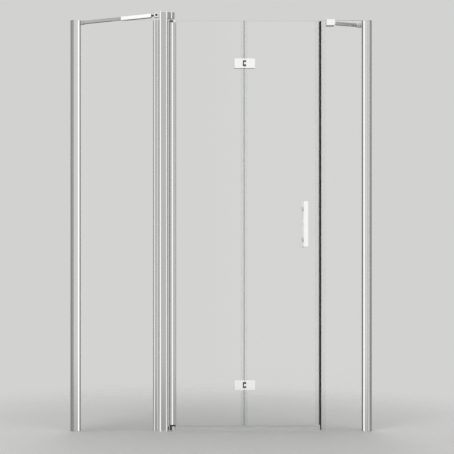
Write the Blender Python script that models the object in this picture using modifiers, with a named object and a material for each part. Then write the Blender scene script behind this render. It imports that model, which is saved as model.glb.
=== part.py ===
"""Niche shower door: two fixed glass panels with a two-leaf folding door between them.

Metres, +Z up.  The origin is where the door's swing axis meets the shower tray, in the
middle plane of the glass.  +X runs to the right seen from outside, +Y into the shower.
The hinge leaf turns about the origin's axis and rises on helical cams as it opens; the
lead leaf folds on two hinges whose pins stand in front of the glass.
"""

import math

import bmesh
import bpy
from mathutils import Matrix, Vector

# Heights and the stations across the opening
PANEL_HEIGHT = 2.000
POST_RISE = 0.040
WALL_TO_PIVOT = 0.491
PIVOT_TO_FOLD = 0.3569
PIVOT_TO_CATCH = 0.7253
CATCH_TO_WALL = 0.2497
POST_HEIGHT = PANEL_HEIGHT + POST_RISE
LEFT_WALL_X = -WALL_TO_PIVOT
RIGHT_WALL_X = PIVOT_TO_CATCH + CATCH_TO_WALL

# Fits
FIT = 0.0003
RUNNING_GAP = 0.0006
OVERRUN = 0.002
MERGE = 0.00001

# Glass and its soft parts
GLASS = 0.006
GLASS_EDGE = 0.0006
GASKET = 0.0014
GASKET_LIP = 0.004
GASKET_LIP_THICKNESS = 0.0004
SILL_JOINT = 0.002
LEAF_BOTTOM = 0.016
LEAF_TOP_DROP = 0.002
GLASS_HALF = GLASS / 2
GASKET_INNER = GLASS_HALF + FIT
GASKET_OUTER = GASKET_INNER + GASKET
SLOT_HALF = GASKET_OUTER + FIT
LEAF_TOP = PANEL_HEIGHT - LEAF_TOP_DROP

# Wall profile and the adjuster that slides over it
PROFILE_DEPTH = 0.028
PROFILE_BOW = 0.0016
PROFILE_CORNER = 0.0015
ADJUSTER_WALL = 0.0016
WALL_CHANNEL_WALL = 0.0016
WALL_CHANNEL_LENGTH = 0.024
GLASS_POCKET = 0.0125
CAP_THICKNESS = 0.002
LEFT_REVEAL = 0.010
LEFT_ADJUSTER_WIDTH = 0.0355
RIGHT_REVEAL = 0.013
RIGHT_ADJUSTER_WIDTH = 0.029

# Profile on the free edge of the left glass
EDGE_PROFILE_DEPTH = 0.024
EDGE_PROFILE_WIDTH = 0.0225
EDGE_PROFILE_CORNER = 0.001
EDGE_GROOVE_WIDTH = 0.010
EDGE_GROOVE_DEPTH = 0.0015
EDGE_GROOVE_INSET = 0.005
EDGE_NECK_DEPTH = 0.012
EDGE_NECK_LENGTH = 0.0022

# Hinge post
POST_LEFT = 0.060
POST_RIGHT = 0.0217
POST_DEPTH = 0.036
POST_CORNER = 0.006
POST_WALL = 0.0024
COVE_TIP_DEPTH = 0.0115
COVE_TIP_ANGLE = math.radians(30)
COVE_SAG_SHARE = 0.16
POST_CAP = 0.0025
POST_FOOT = 0.003
POST_SPIGOT = 0.018

# Rotating pivot profile
NOSE_RADIUS = 0.009
NOSE_BORE = 0.0062
CHANNEL_WALL = 0.0017
CHANNEL_END = 0.0216
CHANNEL_SLOT_START = 0.008
PIVOT_PROFILE_BOTTOM = 0.0295
PIVOT_CAP_HEIGHT = 0.0112
PIVOT_CAP_EDGE = 0.0012
PIVOT_GASKET_LIP = 0.002
CORNER_NOTCH_GAP = 0.0009
CHANNEL_HALF = SLOT_HALF + CHANNEL_WALL

# Pivot blocks, pins, bush and lifting cams
PIN_RADIUS = 0.0039
PIN_CHAMFER = 0.0008
BUSH_LENGTH = 0.028
BUSH_FLANGE = 0.0015
BLOCK_BOSS_RADIUS = 0.0115
BLOCK_ARM_DEPTH = 0.018
BLOCK_FLANGE_DEPTH = 0.014
BLOCK_EDGE = 0.0012
TOP_BLOCK_HEIGHT = 0.032
TOP_BLOCK_REACH = 0.017
TOP_PIN_REACH = 0.050
TOP_PIN_SOCKET = 0.020
BOTTOM_BLOCK_TOP = 0.0225
BOTTOM_BLOCK_REACH = 0.0205
BOTTOM_BLOCK_FLOOR = 0.006
BOTTOM_PLATE_HEIGHT = 0.004
PLATE_FOOT_DEPTH = 0.026
PLATE_FOOT_REACH = 0.016
PLATE_FOOT_CORNER = 0.005
CAM_RADIUS = 0.0086
CAM_BASE = 0.0025
CAM_RISE = 0.010
CAM_TIP_CUT = 0.0004
CAM_FLANGE_HEIGHT = 0.0036
CAM_SPIGOT = 0.016
CAM_STOP_GAP = math.radians(5)
CAM_RELIEF = math.radians(4)
CAM_STEPS = 22
BOTTOM_PIN_BOTTOM = 0.0063
BOTTOM_PIN_TOP = 0.0425
LIFT_ROOM = 0.018
CUP_RADIUS = CAM_RADIUS + FIT
TOP_BLOCK_BOTTOM = POST_HEIGHT - TOP_BLOCK_HEIGHT
TOP_PIN_BOTTOM = TOP_BLOCK_BOTTOM - TOP_PIN_REACH
PIVOT_PROFILE_TOP = TOP_BLOCK_BOTTOM - LIFT_ROOM

# Seals along the leaves
SEAL_WALL = 0.0012
SEAL_ARM = 0.010
SEAL_FIN = 0.0009
SEAL_FIN_REACH = 0.0035
SEAL_FLOOR_GAP = 0.001
EDGE_SEAL_ARM = 0.014
SEAL_END_GAP = 0.0006
SEAL_OUTER = GLASS_HALF + FIT + SEAL_WALL
SEAL_RISE = LEAF_BOTTOM + SEAL_ARM

# Fold hinges
FOLD_OFFSET = 0.0105
FOLD_LEAF_GAP = 0.0006
FOLD_LEAD = 0.0017
HINGE_LOW = 0.224
HINGE_TOP_DROP = 0.210
PLATE_HEIGHT = 0.048
PLATE_START = 0.0005
PLATE_REACH = 0.0505
PLATE_FACE = 0.010
PLATE_CORNER = 0.003
PLATE_EDGE = 0.0009
INNER_PLATE = 0.005
RECESS_HEIGHT = 0.0284
RECESS_LEFT = 0.009
RECESS_RIGHT = 0.007
RECESS_FLOOR = 0.005
KNUCKLE_RADIUS = 0.0042
KNUCKLE_HEIGHT = 0.011
KNUCKLE_GAP = 0.0005
KNUCKLE_WEB_SHARE = 0.9
WEB_INSET = 0.0004
LUG_END = 0.0134
HINGE_PIN_RADIUS = 0.0020
HINGE_PIN_HEAD = 0.0006
BOSS_RADIUS = 0.006
BOSS_SPACING_SHARE = 0.5
GLASS_HOLE_RADIUS = 0.0068
HINGE_HIGH = PANEL_HEIGHT - HINGE_TOP_DROP
PLATE_BACK = GLASS_HALF + FIT

# Magnetic closure
MAGNET_GAP = 0.0006
MAGNET_THICKNESS = 0.005
MAGNET_DEPTH = 0.0074
MAGNET_EDGE = 0.0005
MAGNET_LIP = 0.0034
MAGNET_BACK = 0.0013
LEAD_SEAL_ARM = 0.016
FIXED_SEAL_ARM = 0.019
MAGNET_END = 0.0025

# Handle
HANDLE_TO_CATCH = 0.0761
HANDLE_HEIGHT = 1.007
HANDLE_LENGTH = 0.224
HANDLE_WIDTH = 0.023
INNER_HANDLE_WIDTH = 0.013
HANDLE_THICKNESS = 0.010
HANDLE_STAND = 0.048
HANDLE_EDGE = 0.003
HANDLE_SPACING = 0.150
HANDLE_POST_RADIUS = 0.006
HANDLE_COLLAR_RADIUS = 0.0115
HANDLE_COLLAR = 0.003
STUD_RADIUS = 0.003
STUD_DEPTH = 0.012
HANDLE_BUSH_FLANGE = 0.0009

# Stabiliser bars
BAR_SIZE = 0.015
BAR_WALL = 0.0015
BAR_EDGE = 0.0016
LEFT_BAR_DROP = 0.013
LEFT_BAR_START = 0.0727
LEFT_BAR_INSET = 0.005
LEFT_BAR_REACH = 0.170
RIGHT_BAR_DROP = 0.0105
RIGHT_BAR_REACH = 0.062
PUCK_RADIUS = 0.0122
PUCK_DEPTH = 0.018
PUCK_EDGE = 0.0016
PUCK_NECK_DEPTH = 0.010
PUCK_NECK_HEIGHT = 0.020
PUCK_SCREW_RADIUS = 0.004
PUCK_SCREW_DEPTH = 0.003
BAR_SETBACK = 0.0245
TELESCOPE_LENGTH = 0.160
TELESCOPE_OVERLAP = 0.090
PLUG_NECK = 0.007
RIGHT_BAR_SETBACK = 0.022
RIGHT_PLUG_START = 0.0145
PLUG_LENGTH = 0.012
FLANGE_RADIUS = 0.017
FLANGE_THICKNESS = 0.005
FLANGE_EDGE = 0.0012
STUB_RADIUS = 0.0075
KNUCKLE_CENTRE = 0.026
FORK_RADIUS = 0.0095
FORK_MOUTH = 0.024
FORK_HEIGHT = 0.017
TONGUE = 0.006
TONGUE_RADIUS = 0.0065
TONGUE_ROOT = 0.0105
TONGUE_ROOT_SHARE = 0.8
SLEEVE_SIZE = 0.019
SLEEVE_LENGTH = 0.027
SLEEVE_POCKET = 0.015
SLEEVE_EDGE = 0.0018
CLAMP_WIDTH = 0.040
CLAMP_HEIGHT = 0.030
CLAMP_TOP = 0.005
CLAMP_JAW = 0.008
CLAMP_REAR = 0.020
CLAMP_EDGE = 0.0015
CLAMP_TO_CATCH = 0.030
LEFT_BAR_HEIGHT = POST_HEIGHT - LEFT_BAR_DROP
RIGHT_BAR_HEIGHT = PANEL_HEIGHT - RIGHT_BAR_DROP
PLUG_SIZE = BAR_SIZE - 2 * BAR_WALL - 2 * FIT

# Facets
ROUND_SEGMENTS = 32
SMALL_SEGMENTS = 20
BOSS_STEPS = 10
NOSE_STEPS = 24
FILLET_STEPS = 3
BOW_STEPS = 6
BEVEL_SEGMENTS = 2
SMOOTH_ANGLE = math.radians(35)

Z_UP = Matrix.Identity(4)
X_ALONG = Matrix(((0, 0, 1, 0), (1, 0, 0, 0), (0, 1, 0, 0), (0, 0, 0, 1)))
Y_OUT = Matrix(((1, 0, 0, 0), (0, 0, -1, 0), (0, 1, 0, 0), (0, 0, 0, 1)))
Y_IN = Matrix(((1, 0, 0, 0), (0, 0, 1, 0), (0, -1, 0, 0), (0, 0, 0, 1)))


def clear_scene():
    """Remove whatever the scene holds."""
    for thing in list(bpy.data.objects):
        bpy.data.objects.remove(thing, do_unlink=True)


def collection(name):
    """A new collection under the scene's own."""
    made = bpy.data.collections.new(name)
    bpy.context.scene.collection.children.link(made)
    return made


def finish(name, colour, roughness, metallic=0.0, transmission=0.0):
    """A Principled material."""
    made = bpy.data.materials.new(name)
    made.use_nodes = True
    shader = made.node_tree.nodes["Principled BSDF"]
    shader.inputs["Base Color"].default_value = (*colour, 1.0)
    shader.inputs["Roughness"].default_value = roughness
    shader.inputs["Metallic"].default_value = metallic
    shader.inputs["Transmission Weight"].default_value = transmission
    return made


clear_scene()
PARTS = collection("niche_shower_door")
CUTTERS = collection("cutters")
CHROME = finish("polished_chrome", (0.82, 0.83, 0.84), 0.12, metallic=1.0)
ALUMINIUM = finish("bright_aluminium", (0.78, 0.79, 0.80), 0.2, metallic=1.0)
CLEAR_GLASS = finish("clear_glass", (0.93, 0.97, 0.95), 0.02, transmission=1.0)
CLEAR_SEAL = finish("translucent_seal", (0.80, 0.81, 0.80), 0.35, transmission=0.6)
GASKET_RUBBER = finish("gasket_rubber", (0.35, 0.35, 0.35), 0.6)
MAGNET_BLACK = finish("magnet_black", (0.02, 0.02, 0.02), 0.5)
BUSH_PLASTIC = finish("bush_plastic", (0.75, 0.76, 0.76), 0.4)
PIN_STEEL = finish("pin_steel", (0.65, 0.66, 0.67), 0.25, metallic=1.0)


def empty(name, place, parent=None):
    """An empty that carries one moving group, standing on its joint's axis."""
    made = bpy.data.objects.new(name, None)
    PARTS.objects.link(made)
    made.matrix_world = Matrix.Translation(place)
    adopt(made, parent)
    return made


def adopt(thing, parent):
    """Hang a thing on its parent without moving it."""
    bpy.context.view_layer.update()
    if parent:
        thing.parent = parent
        thing.matrix_parent_inverse = parent.matrix_world.inverted()


def smooth(mesh):
    """Smooth shading that keeps real edges sharp."""
    mesh.shade_smooth()
    mesh.set_sharp_from_angle(angle=SMOOTH_ANGLE)


def keep(name, bm, place):
    """Turn a bmesh into a linked object that stands at a place."""
    mesh = bpy.data.meshes.new(name)
    bm.to_mesh(mesh)
    bm.free()
    made = bpy.data.objects.new(name, mesh)
    PARTS.objects.link(made)
    made.matrix_world = place
    return made


def dress(thing, material, parent):
    """Give a finished piece its material and the group that carries it."""
    thing.data.materials.clear()
    thing.data.materials.append(material)
    smooth(thing.data)
    adopt(thing, parent)
    return thing


def round_edges(thing, width, segments=BEVEL_SEGMENTS):
    """Bevel every real edge of a piece."""
    bevel = thing.modifiers.new("edges", "BEVEL")
    bevel.width = width
    bevel.segments = segments
    bevel.limit_method = "ANGLE"
    bevel.angle_limit = SMOOTH_ANGLE
    return thing


def box(name, low, high, place=Z_UP, edge=0.0):
    """A block between two corners."""
    bm = bmesh.new()
    bmesh.ops.create_cube(bm, size=1.0)
    size = Vector(high) - Vector(low)
    middle = (Vector(high) + Vector(low)) / 2
    bmesh.ops.scale(bm, vec=size, verts=bm.verts)
    bmesh.ops.translate(bm, vec=middle, verts=bm.verts)
    made = keep(name, bm, place)
    return round_edges(made, edge) if edge else made


def cylinder(name, radius, start, end, place=Z_UP, segments=ROUND_SEGMENTS):
    """A cylinder about a place's own Z axis, from start to end along it."""
    bm = bmesh.new()
    bmesh.ops.create_cone(bm, cap_ends=True, segments=segments, radius1=radius,
                          radius2=radius, depth=end - start)
    bmesh.ops.translate(bm, vec=(0, 0, (start + end) / 2), verts=bm.verts)
    return keep(name, bm, place)


def turned(name, profile, place=Z_UP, segments=ROUND_SEGMENTS, ring=False):
    """A profile of (radius, height) turned about Z; it runs from the top to the bottom."""
    bm = bmesh.new()
    points = [bm.verts.new((radius, 0, height)) for radius, height in profile]
    ends = points[1:] + points[:1] if ring else points[1:]
    for first, second in zip(points, ends):
        bm.edges.new((first, second))
    made = keep(name, bm, place)
    screw = made.modifiers.new("turn", "SCREW")
    screw.steps = segments
    screw.render_steps = segments
    screw.use_merge_vertices = True
    screw.merge_threshold = MERGE
    return made


def extrusion(name, outlines, start, end, place=Z_UP):
    """Closed outlines in a place's XY plane, carried from start to end along its Z axis.

    The first outline is the outer one and any others are holes through it.
    """
    curve = bpy.data.curves.new(name, "CURVE")
    curve.dimensions = "2D"
    curve.fill_mode = "BOTH"
    curve.extrude = (end - start) / 2
    for outline in outlines:
        spline = curve.splines.new("POLY")
        spline.points.add(len(outline) - 1)
        for point, (across, along) in zip(spline.points, outline):
            point.co = (across, along, 0, 1)
        spline.use_cyclic_u = True
    guide = bpy.data.objects.new(name, curve)
    PARTS.objects.link(guide)
    guide.matrix_world = place @ Matrix.Translation((0, 0, (start + end) / 2))
    return as_mesh(guide)


def as_mesh(guide):
    """Replace a curve object by a welded mesh of the same shape, in the same place."""
    bpy.context.view_layer.update()
    evaluated = guide.evaluated_get(bpy.context.evaluated_depsgraph_get())
    name = guide.name
    place = guide.matrix_world.copy()
    bm = bmesh.new()
    source = bpy.data.meshes.new_from_object(evaluated)
    bm.from_mesh(source)
    bpy.data.meshes.remove(source)
    bpy.data.objects.remove(guide, do_unlink=True)
    bmesh.ops.remove_doubles(bm, verts=bm.verts, dist=MERGE)
    bmesh.ops.recalc_face_normals(bm, faces=bm.faces)
    return keep(name, bm, place)


def boolean(target, tool, operation):
    """Cut or join with a tool, which is set aside among the cutters."""
    modifier = target.modifiers.new(tool.name, "BOOLEAN")
    modifier.operation = operation
    modifier.object = tool
    modifier.solver = "EXACT"
    PARTS.objects.unlink(tool)
    CUTTERS.objects.link(tool)
    tool.hide_render = True
    tool.display_type = "WIRE"


def cut(target, *tools):
    """Take tools away from a piece."""
    for tool in tools:
        boolean(target, tool, "DIFFERENCE")
    return target


def join(target, *tools):
    """Fuse tools to a piece."""
    for tool in tools:
        boolean(target, tool, "UNION")
    return target


def arc(centre_x, centre_y, radius, first, last, steps):
    """Points along an arc, both ends included."""
    turns = [first + (last - first) * step / steps for step in range(steps + 1)]
    return [(centre_x + radius * math.cos(turn), centre_y + radius * math.sin(turn))
            for turn in turns]


def bowed(first, last, rise, steps=BOW_STEPS):
    """Points along a shallow parabola from first to last that stands out by rise.

    A positive rise lies to the right of the way from first to last.
    """
    start = Vector(first)
    way = Vector(last) - start
    out = Vector((way.y, -way.x)).normalized()
    shares = [step / steps for step in range(steps + 1)]
    return [tuple(start + way * share + out * (4 * rise * share * (1 - share)))
            for share in shares]


def rounded(corners, radius, steps=FILLET_STEPS):
    """An outline whose convex corners are all rounded by one radius."""
    points = []
    count = len(corners)
    for index in range(count):
        here = Vector(corners[index])
        back = (Vector(corners[index - 1]) - here).normalized()
        ahead = (Vector(corners[(index + 1) % count]) - here).normalized()
        half = math.acos(max(-1.0, min(1.0, back.dot(ahead)))) / 2
        middle = here + (back + ahead).normalized() * (radius / math.sin(half))
        start = here + back * (radius / math.tan(half)) - middle
        turn = back.cross(ahead)
        sweep = math.copysign(math.pi - 2 * half, -turn)
        for step in range(steps + 1):
            angle = sweep * step / steps
            points.append(tuple(middle + Matrix.Rotation(angle, 2) @ start))
    return points


def rectangle(x_low, x_high, y_low, y_high):
    """Four corners, counter-clockwise."""
    return [(x_low, y_low), (x_high, y_low), (x_high, y_high), (x_low, y_high)]


def mirror_y(outline):
    """The same outline on the other side of the glass."""
    return [(across, -along) for across, along in reversed(outline)]


def from_wall(outline, wall_x, inward):
    """Turn an outline measured from a wall into the door's own X."""
    return [(wall_x + inward * away, depth) for away, depth in outline]


def glazing_gasket(pocket_floor, mouth, lip):
    """Section of the U gasket that grips a glass edge, with its lips outside the mouth."""
    side = math.copysign(1.0, mouth - pocket_floor)
    base = pocket_floor + side * FIT
    front = [(base, -GASKET_OUTER), (mouth, -GASKET_OUTER),
             (mouth + side * lip, -GASKET_INNER - GASKET_LIP_THICKNESS),
             (mouth + side * lip, -GASKET_INNER), (base + side * GASKET, -GASKET_INNER)]
    return front + mirror_y(front)


def glass_panel(name, x_low, x_high, z_low, z_high):
    """A pane with arrised edges, standing in the middle plane."""
    low = (x_low, -GLASS_HALF, z_low)
    high = (x_high, GLASS_HALF, z_high)
    pane = box(name, low, high, edge=GLASS_EDGE)
    pane.modifiers["edges"].segments = 1
    return pane


def build_wall_side(side, wall_x, inward, reveal, width, glass_end, carrier):
    """Everything that fastens one fixed pane to its wall, and the pane itself."""
    half = PROFILE_DEPTH / 2
    end = reveal + width
    floor = end - GLASS_POCKET
    channel_half = half - ADJUSTER_WALL - FIT
    profile_top = PANEL_HEIGHT - CAP_THICKNESS - FIT

    flange = [(0, -channel_half), (WALL_CHANNEL_LENGTH, -channel_half),
              (WALL_CHANNEL_LENGTH, -channel_half + WALL_CHANNEL_WALL),
              (WALL_CHANNEL_WALL, -channel_half + WALL_CHANNEL_WALL)]
    channel = from_wall(flange + mirror_y(flange), wall_x, inward)
    profile = extrusion(f"{side}_wall_profile", [channel], 0, profile_top)
    dress(profile, ALUMINIUM, carrier)

    inner = half - ADJUSTER_WALL
    outside = bowed((reveal, -half), (end - PROFILE_CORNER, -half), PROFILE_BOW)
    outside += [(end, -half + PROFILE_CORNER), (end, -SLOT_HALF), (floor, -SLOT_HALF)]
    web = [(floor - ADJUSTER_WALL, -inner), (reveal, -inner)]
    section = outside + mirror_y(outside) + mirror_y(web) + web
    chamber = rectangle(floor, end - ADJUSTER_WALL, -inner, -SLOT_HALF - ADJUSTER_WALL)
    holes = [chamber, mirror_y(chamber)]
    shapes = [from_wall(shape, wall_x, inward) for shape in [section] + holes]
    adjuster = extrusion(f"{side}_adjuster_profile", shapes, 0, profile_top)
    dress(adjuster, CHROME, carrier)

    lid = [(0, -half)] + outside
    shape = from_wall(lid + mirror_y(lid), wall_x, inward)
    cap = extrusion(f"{side}_profile_cap", [shape], profile_top + FIT, PANEL_HEIGHT)
    dress(cap, CHROME, carrier)

    grip = from_wall(glazing_gasket(floor, end, GASKET_LIP), wall_x, inward)
    gasket = extrusion(f"{side}_glass_gasket", [grip], SILL_JOINT, PANEL_HEIGHT)
    dress(gasket, GASKET_RUBBER, carrier)

    near = wall_x + inward * (floor + FIT + GASKET + FIT)
    x_low, x_high = sorted((near, glass_end))
    pane = glass_panel(f"{side}_fixed_glass", x_low, x_high, SILL_JOINT, PANEL_HEIGHT)
    dress(pane, CLEAR_GLASS, carrier)
    return pane


def edge_profile_left():
    """X of the mouth of the profile on the left pane's free edge."""
    return -POST_LEFT - FIT - EDGE_NECK_LENGTH - EDGE_PROFILE_WIDTH


def build_edge_profile(carrier):
    """The profile and gasket on the left pane's free edge, which hooks to the post."""
    half = EDGE_PROFILE_DEPTH / 2
    neck = EDGE_NECK_DEPTH / 2
    right = -POST_LEFT - FIT
    left = edge_profile_left()
    body_right = left + EDGE_PROFILE_WIDTH
    groove = left + EDGE_GROOVE_INSET
    bottom_of_groove = half - EDGE_GROOVE_DEPTH
    front = [(left + GLASS_POCKET, -SLOT_HALF), (left, -SLOT_HALF),
             (left, -half + EDGE_PROFILE_CORNER), (left + EDGE_PROFILE_CORNER, -half),
             (groove, -half), (groove, -bottom_of_groove),
             (groove + EDGE_GROOVE_WIDTH, -bottom_of_groove),
             (groove + EDGE_GROOVE_WIDTH, -half), (body_right - EDGE_PROFILE_CORNER, -half),
             (body_right, -half + EDGE_PROFILE_CORNER), (body_right, -neck), (right, -neck)]
    profile = extrusion("glass_edge_profile", [front + mirror_y(front)], 0, PANEL_HEIGHT)
    dress(profile, CHROME, carrier)
    grip = glazing_gasket(left + GLASS_POCKET, left, GASKET_LIP)
    gasket = extrusion("glass_edge_gasket", [grip], SILL_JOINT, PANEL_HEIGHT)
    dress(gasket, GASKET_RUBBER, carrier)


def build_post(carrier):
    """The hollow post, with the coved wing that shrouds the rotating nose."""
    half = POST_DEPTH / 2
    socket = NOSE_RADIUS + RUNNING_GAP
    lip = (-socket * math.cos(COVE_TIP_ANGLE), -COVE_TIP_DEPTH / 2)
    shoulder = (-POST_RIGHT, -half + POST_CORNER)
    front = arc(-POST_LEFT + POST_CORNER, -half + POST_CORNER, POST_CORNER,
                math.pi, math.pi * 3 / 2, FILLET_STEPS)
    front += arc(-POST_RIGHT - POST_CORNER, -half + POST_CORNER, POST_CORNER,
                 -math.pi / 2, 0, FILLET_STEPS)[:-1]
    front += bowed(shoulder, lip, -COVE_SAG_SHARE * POST_RIGHT)
    cove = arc(0, 0, socket, math.pi + COVE_TIP_ANGLE, math.pi - COVE_TIP_ANGLE, BOW_STEPS)
    chamber = rectangle(-POST_LEFT + POST_WALL, -POST_RIGHT - POST_WALL,
                        -half + POST_WALL, half - POST_WALL)
    low = POST_FOOT + FIT
    high = POST_HEIGHT - POST_CAP - FIT
    post = extrusion("hinge_post", [front + cove + mirror_y(front), chamber], low, high)
    reach = half + OVERRUN
    under = box("cove_cut_low", (-POST_RIGHT, -reach, -OVERRUN), (0, reach, PIVOT_PROFILE_BOTTOM))
    over = box("cove_cut_high", (-POST_RIGHT, -reach, TOP_BLOCK_BOTTOM - FIT),
               (0, reach, POST_HEIGHT + OVERRUN))
    dress(cut(post, under, over), CHROME, carrier)

    plate = rounded(rectangle(-POST_LEFT, -POST_RIGHT, -half, half), POST_CORNER)
    inside = POST_WALL + FIT
    for name, outer, inner, tip in (("post_foot", 0, POST_FOOT, POST_FOOT + POST_SPIGOT),
                                    ("post_top_cap", POST_HEIGHT, POST_HEIGHT - POST_CAP,
                                     POST_HEIGHT - POST_CAP - POST_SPIGOT)):
        lid = extrusion(name, [plate], min(outer, inner), max(outer, inner))
        reach = inner + (outer - inner) / 2
        spigot = box(name + "_spigot",
                     (-POST_LEFT + inside, -half + inside, min(reach, tip)),
                     (-POST_RIGHT - inside, half - inside, max(reach, tip)))
        dress(join(lid, spigot), CHROME, carrier)


def block_outline(reach):
    """Plan of a pivot block: an arm from the post, a round boss and a tongue to the right."""
    arm = BLOCK_ARM_DEPTH / 2
    tongue = BLOCK_FLANGE_DEPTH / 2
    arm_turn = math.asin(arm / BLOCK_BOSS_RADIUS)
    tongue_turn = math.asin(tongue / BLOCK_BOSS_RADIUS)
    front = [(-POST_RIGHT + FIT, -arm)]
    front += arc(0, 0, BLOCK_BOSS_RADIUS, math.pi + arm_turn, 2 * math.pi - tongue_turn,
                 BOSS_STEPS)
    front += arc(reach - tongue, 0, tongue, -math.pi / 2, -math.pi / 8, FILLET_STEPS)
    return front + mirror_y(front)


def build_pivot_blocks(carrier):
    """The two blocks on the post that hold the door, with the fixed pin and the fixed cam."""
    top = extrusion("pivot_top_block", [block_outline(TOP_BLOCK_REACH)], TOP_BLOCK_BOTTOM,
                    POST_HEIGHT)
    round_edges(top, BLOCK_EDGE)
    socket_end = TOP_BLOCK_BOTTOM + TOP_PIN_SOCKET
    socket = cylinder("top_pin_socket", PIN_RADIUS + FIT, TOP_BLOCK_BOTTOM - OVERRUN,
                      socket_end, segments=SMALL_SEGMENTS)
    dress(cut(top, socket), CHROME, carrier)
    pin = turned("pivot_top_pin", pin_profile(TOP_PIN_BOTTOM, socket_end - FIT),
                 segments=SMALL_SEGMENTS)
    dress(pin, PIN_STEEL, carrier)

    bottom = extrusion("pivot_bottom_block", [block_outline(BOTTOM_BLOCK_REACH)], 0,
                       BOTTOM_BLOCK_TOP)
    round_edges(bottom, BLOCK_EDGE)
    half = PLATE_FOOT_DEPTH / 2
    foot = rounded(rectangle(-POST_RIGHT + FIT, PLATE_FOOT_REACH, -half, half),
                   PLATE_FOOT_CORNER)
    plate = extrusion("bottom_block_foot", [foot], 0, BOTTOM_PLATE_HEIGHT)
    cup = cylinder("bottom_block_cup", CUP_RADIUS, BOTTOM_BLOCK_FLOOR,
                   BOTTOM_BLOCK_TOP + OVERRUN)
    dress(cut(join(bottom, plate), cup), CHROME, carrier)
    build_lower_cam(carrier)


def pin_profile(bottom, top):
    """A plain pin with chamfered ends."""
    return [(0, top), (PIN_RADIUS - PIN_CHAMFER, top), (PIN_RADIUS, top - PIN_CHAMFER),
            (PIN_RADIUS, bottom + PIN_CHAMFER), (PIN_RADIUS - PIN_CHAMFER, bottom), (0, bottom)]


def helical_wedge(name, first, last, surface, depth):
    """A band between two turns whose face next to the cam lies on the helical surface.

    The surface climbs CAM_RISE in half a turn from zero; depth is positive above it and
    negative below it.  The band is a quad turned and lifted in equal steps.
    """
    bm = bmesh.new()
    climb = CAM_RISE / math.pi
    start = surface + climb * (first % math.pi)
    inner = PIN_RADIUS - OVERRUN
    outer = CAM_RADIUS + OVERRUN
    corners = ((inner, start), (outer, start), (outer, start + depth), (inner, start + depth))
    turn = Matrix.Rotation(first, 3, "Z")
    bm.faces.new([bm.verts.new(turn @ Vector((radius, 0, height)))
                  for radius, height in corners])
    bmesh.ops.spin(bm, geom=bm.verts[:] + bm.edges[:] + bm.faces[:], cent=(0, 0, 0),
                   axis=(0, 0, 1), dvec=(0, 0, climb * (last - first) / CAM_STEPS),
                   angle=last - first, steps=CAM_STEPS)
    bmesh.ops.remove_doubles(bm, verts=bm.verts, dist=MERGE)
    bmesh.ops.recalc_face_normals(bm, faces=bm.faces)
    return keep(name, bm, Z_UP)


def cam_surface():
    """Height at which both ramps of the fixed cam start."""
    return BOTTOM_BLOCK_FLOOR + FIT + CAM_BASE


def build_lower_cam(carrier):
    """The fixed cam: a ring with two ramps, each climbing CAM_RISE in half a turn."""
    bottom = BOTTOM_BLOCK_FLOOR + FIT
    top = cam_surface() + CAM_RISE - CAM_TIP_CUT
    bore = PIN_RADIUS + FIT
    ring = turned("lift_cam_lower", [(CAM_RADIUS, top), (CAM_RADIUS, bottom), (bore, bottom),
                                     (bore, top)], segments=2 * CAM_STEPS, ring=True)
    for number in (0, 1):
        first = number * math.pi
        wedge = helical_wedge(f"lower_cam_cut_{number + 1}", first,
                              first + math.pi - CAM_RELIEF, cam_surface(), CAM_RISE + CAM_BASE)
        cut(ring, wedge)
    dress(ring, BUSH_PLASTIC, carrier)


def build_upper_cam(carrier):
    """The cam under the pivot profile, whose own ramps ride on the fixed ones."""
    surface = cam_surface() + FIT
    bottom = surface + CAM_TIP_CUT
    bore = PIN_RADIUS + FIT
    flange_top = PIVOT_PROFILE_BOTTOM - FIT
    flange_bottom = flange_top - CAM_FLANGE_HEIGHT
    top = PIVOT_PROFILE_BOTTOM + CAM_SPIGOT
    spigot = NOSE_BORE - FIT
    ring = turned("lift_cam_upper",
                  [(spigot, top), (spigot, flange_top), (NOSE_RADIUS, flange_top),
                   (NOSE_RADIUS, flange_bottom), (CAM_RADIUS, flange_bottom),
                   (CAM_RADIUS, bottom), (bore, bottom), (bore, top)],
                  segments=2 * CAM_STEPS, ring=True)
    for number in (0, 1):
        first = number * math.pi + CAM_STOP_GAP
        wedge = helical_wedge(f"upper_cam_cut_{number + 1}", first + CAM_RELIEF / 2,
                              first + math.pi, surface, -CAM_RISE - CAM_BASE)
        cut(ring, wedge)
    dress(ring, BUSH_PLASTIC, carrier)


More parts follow.
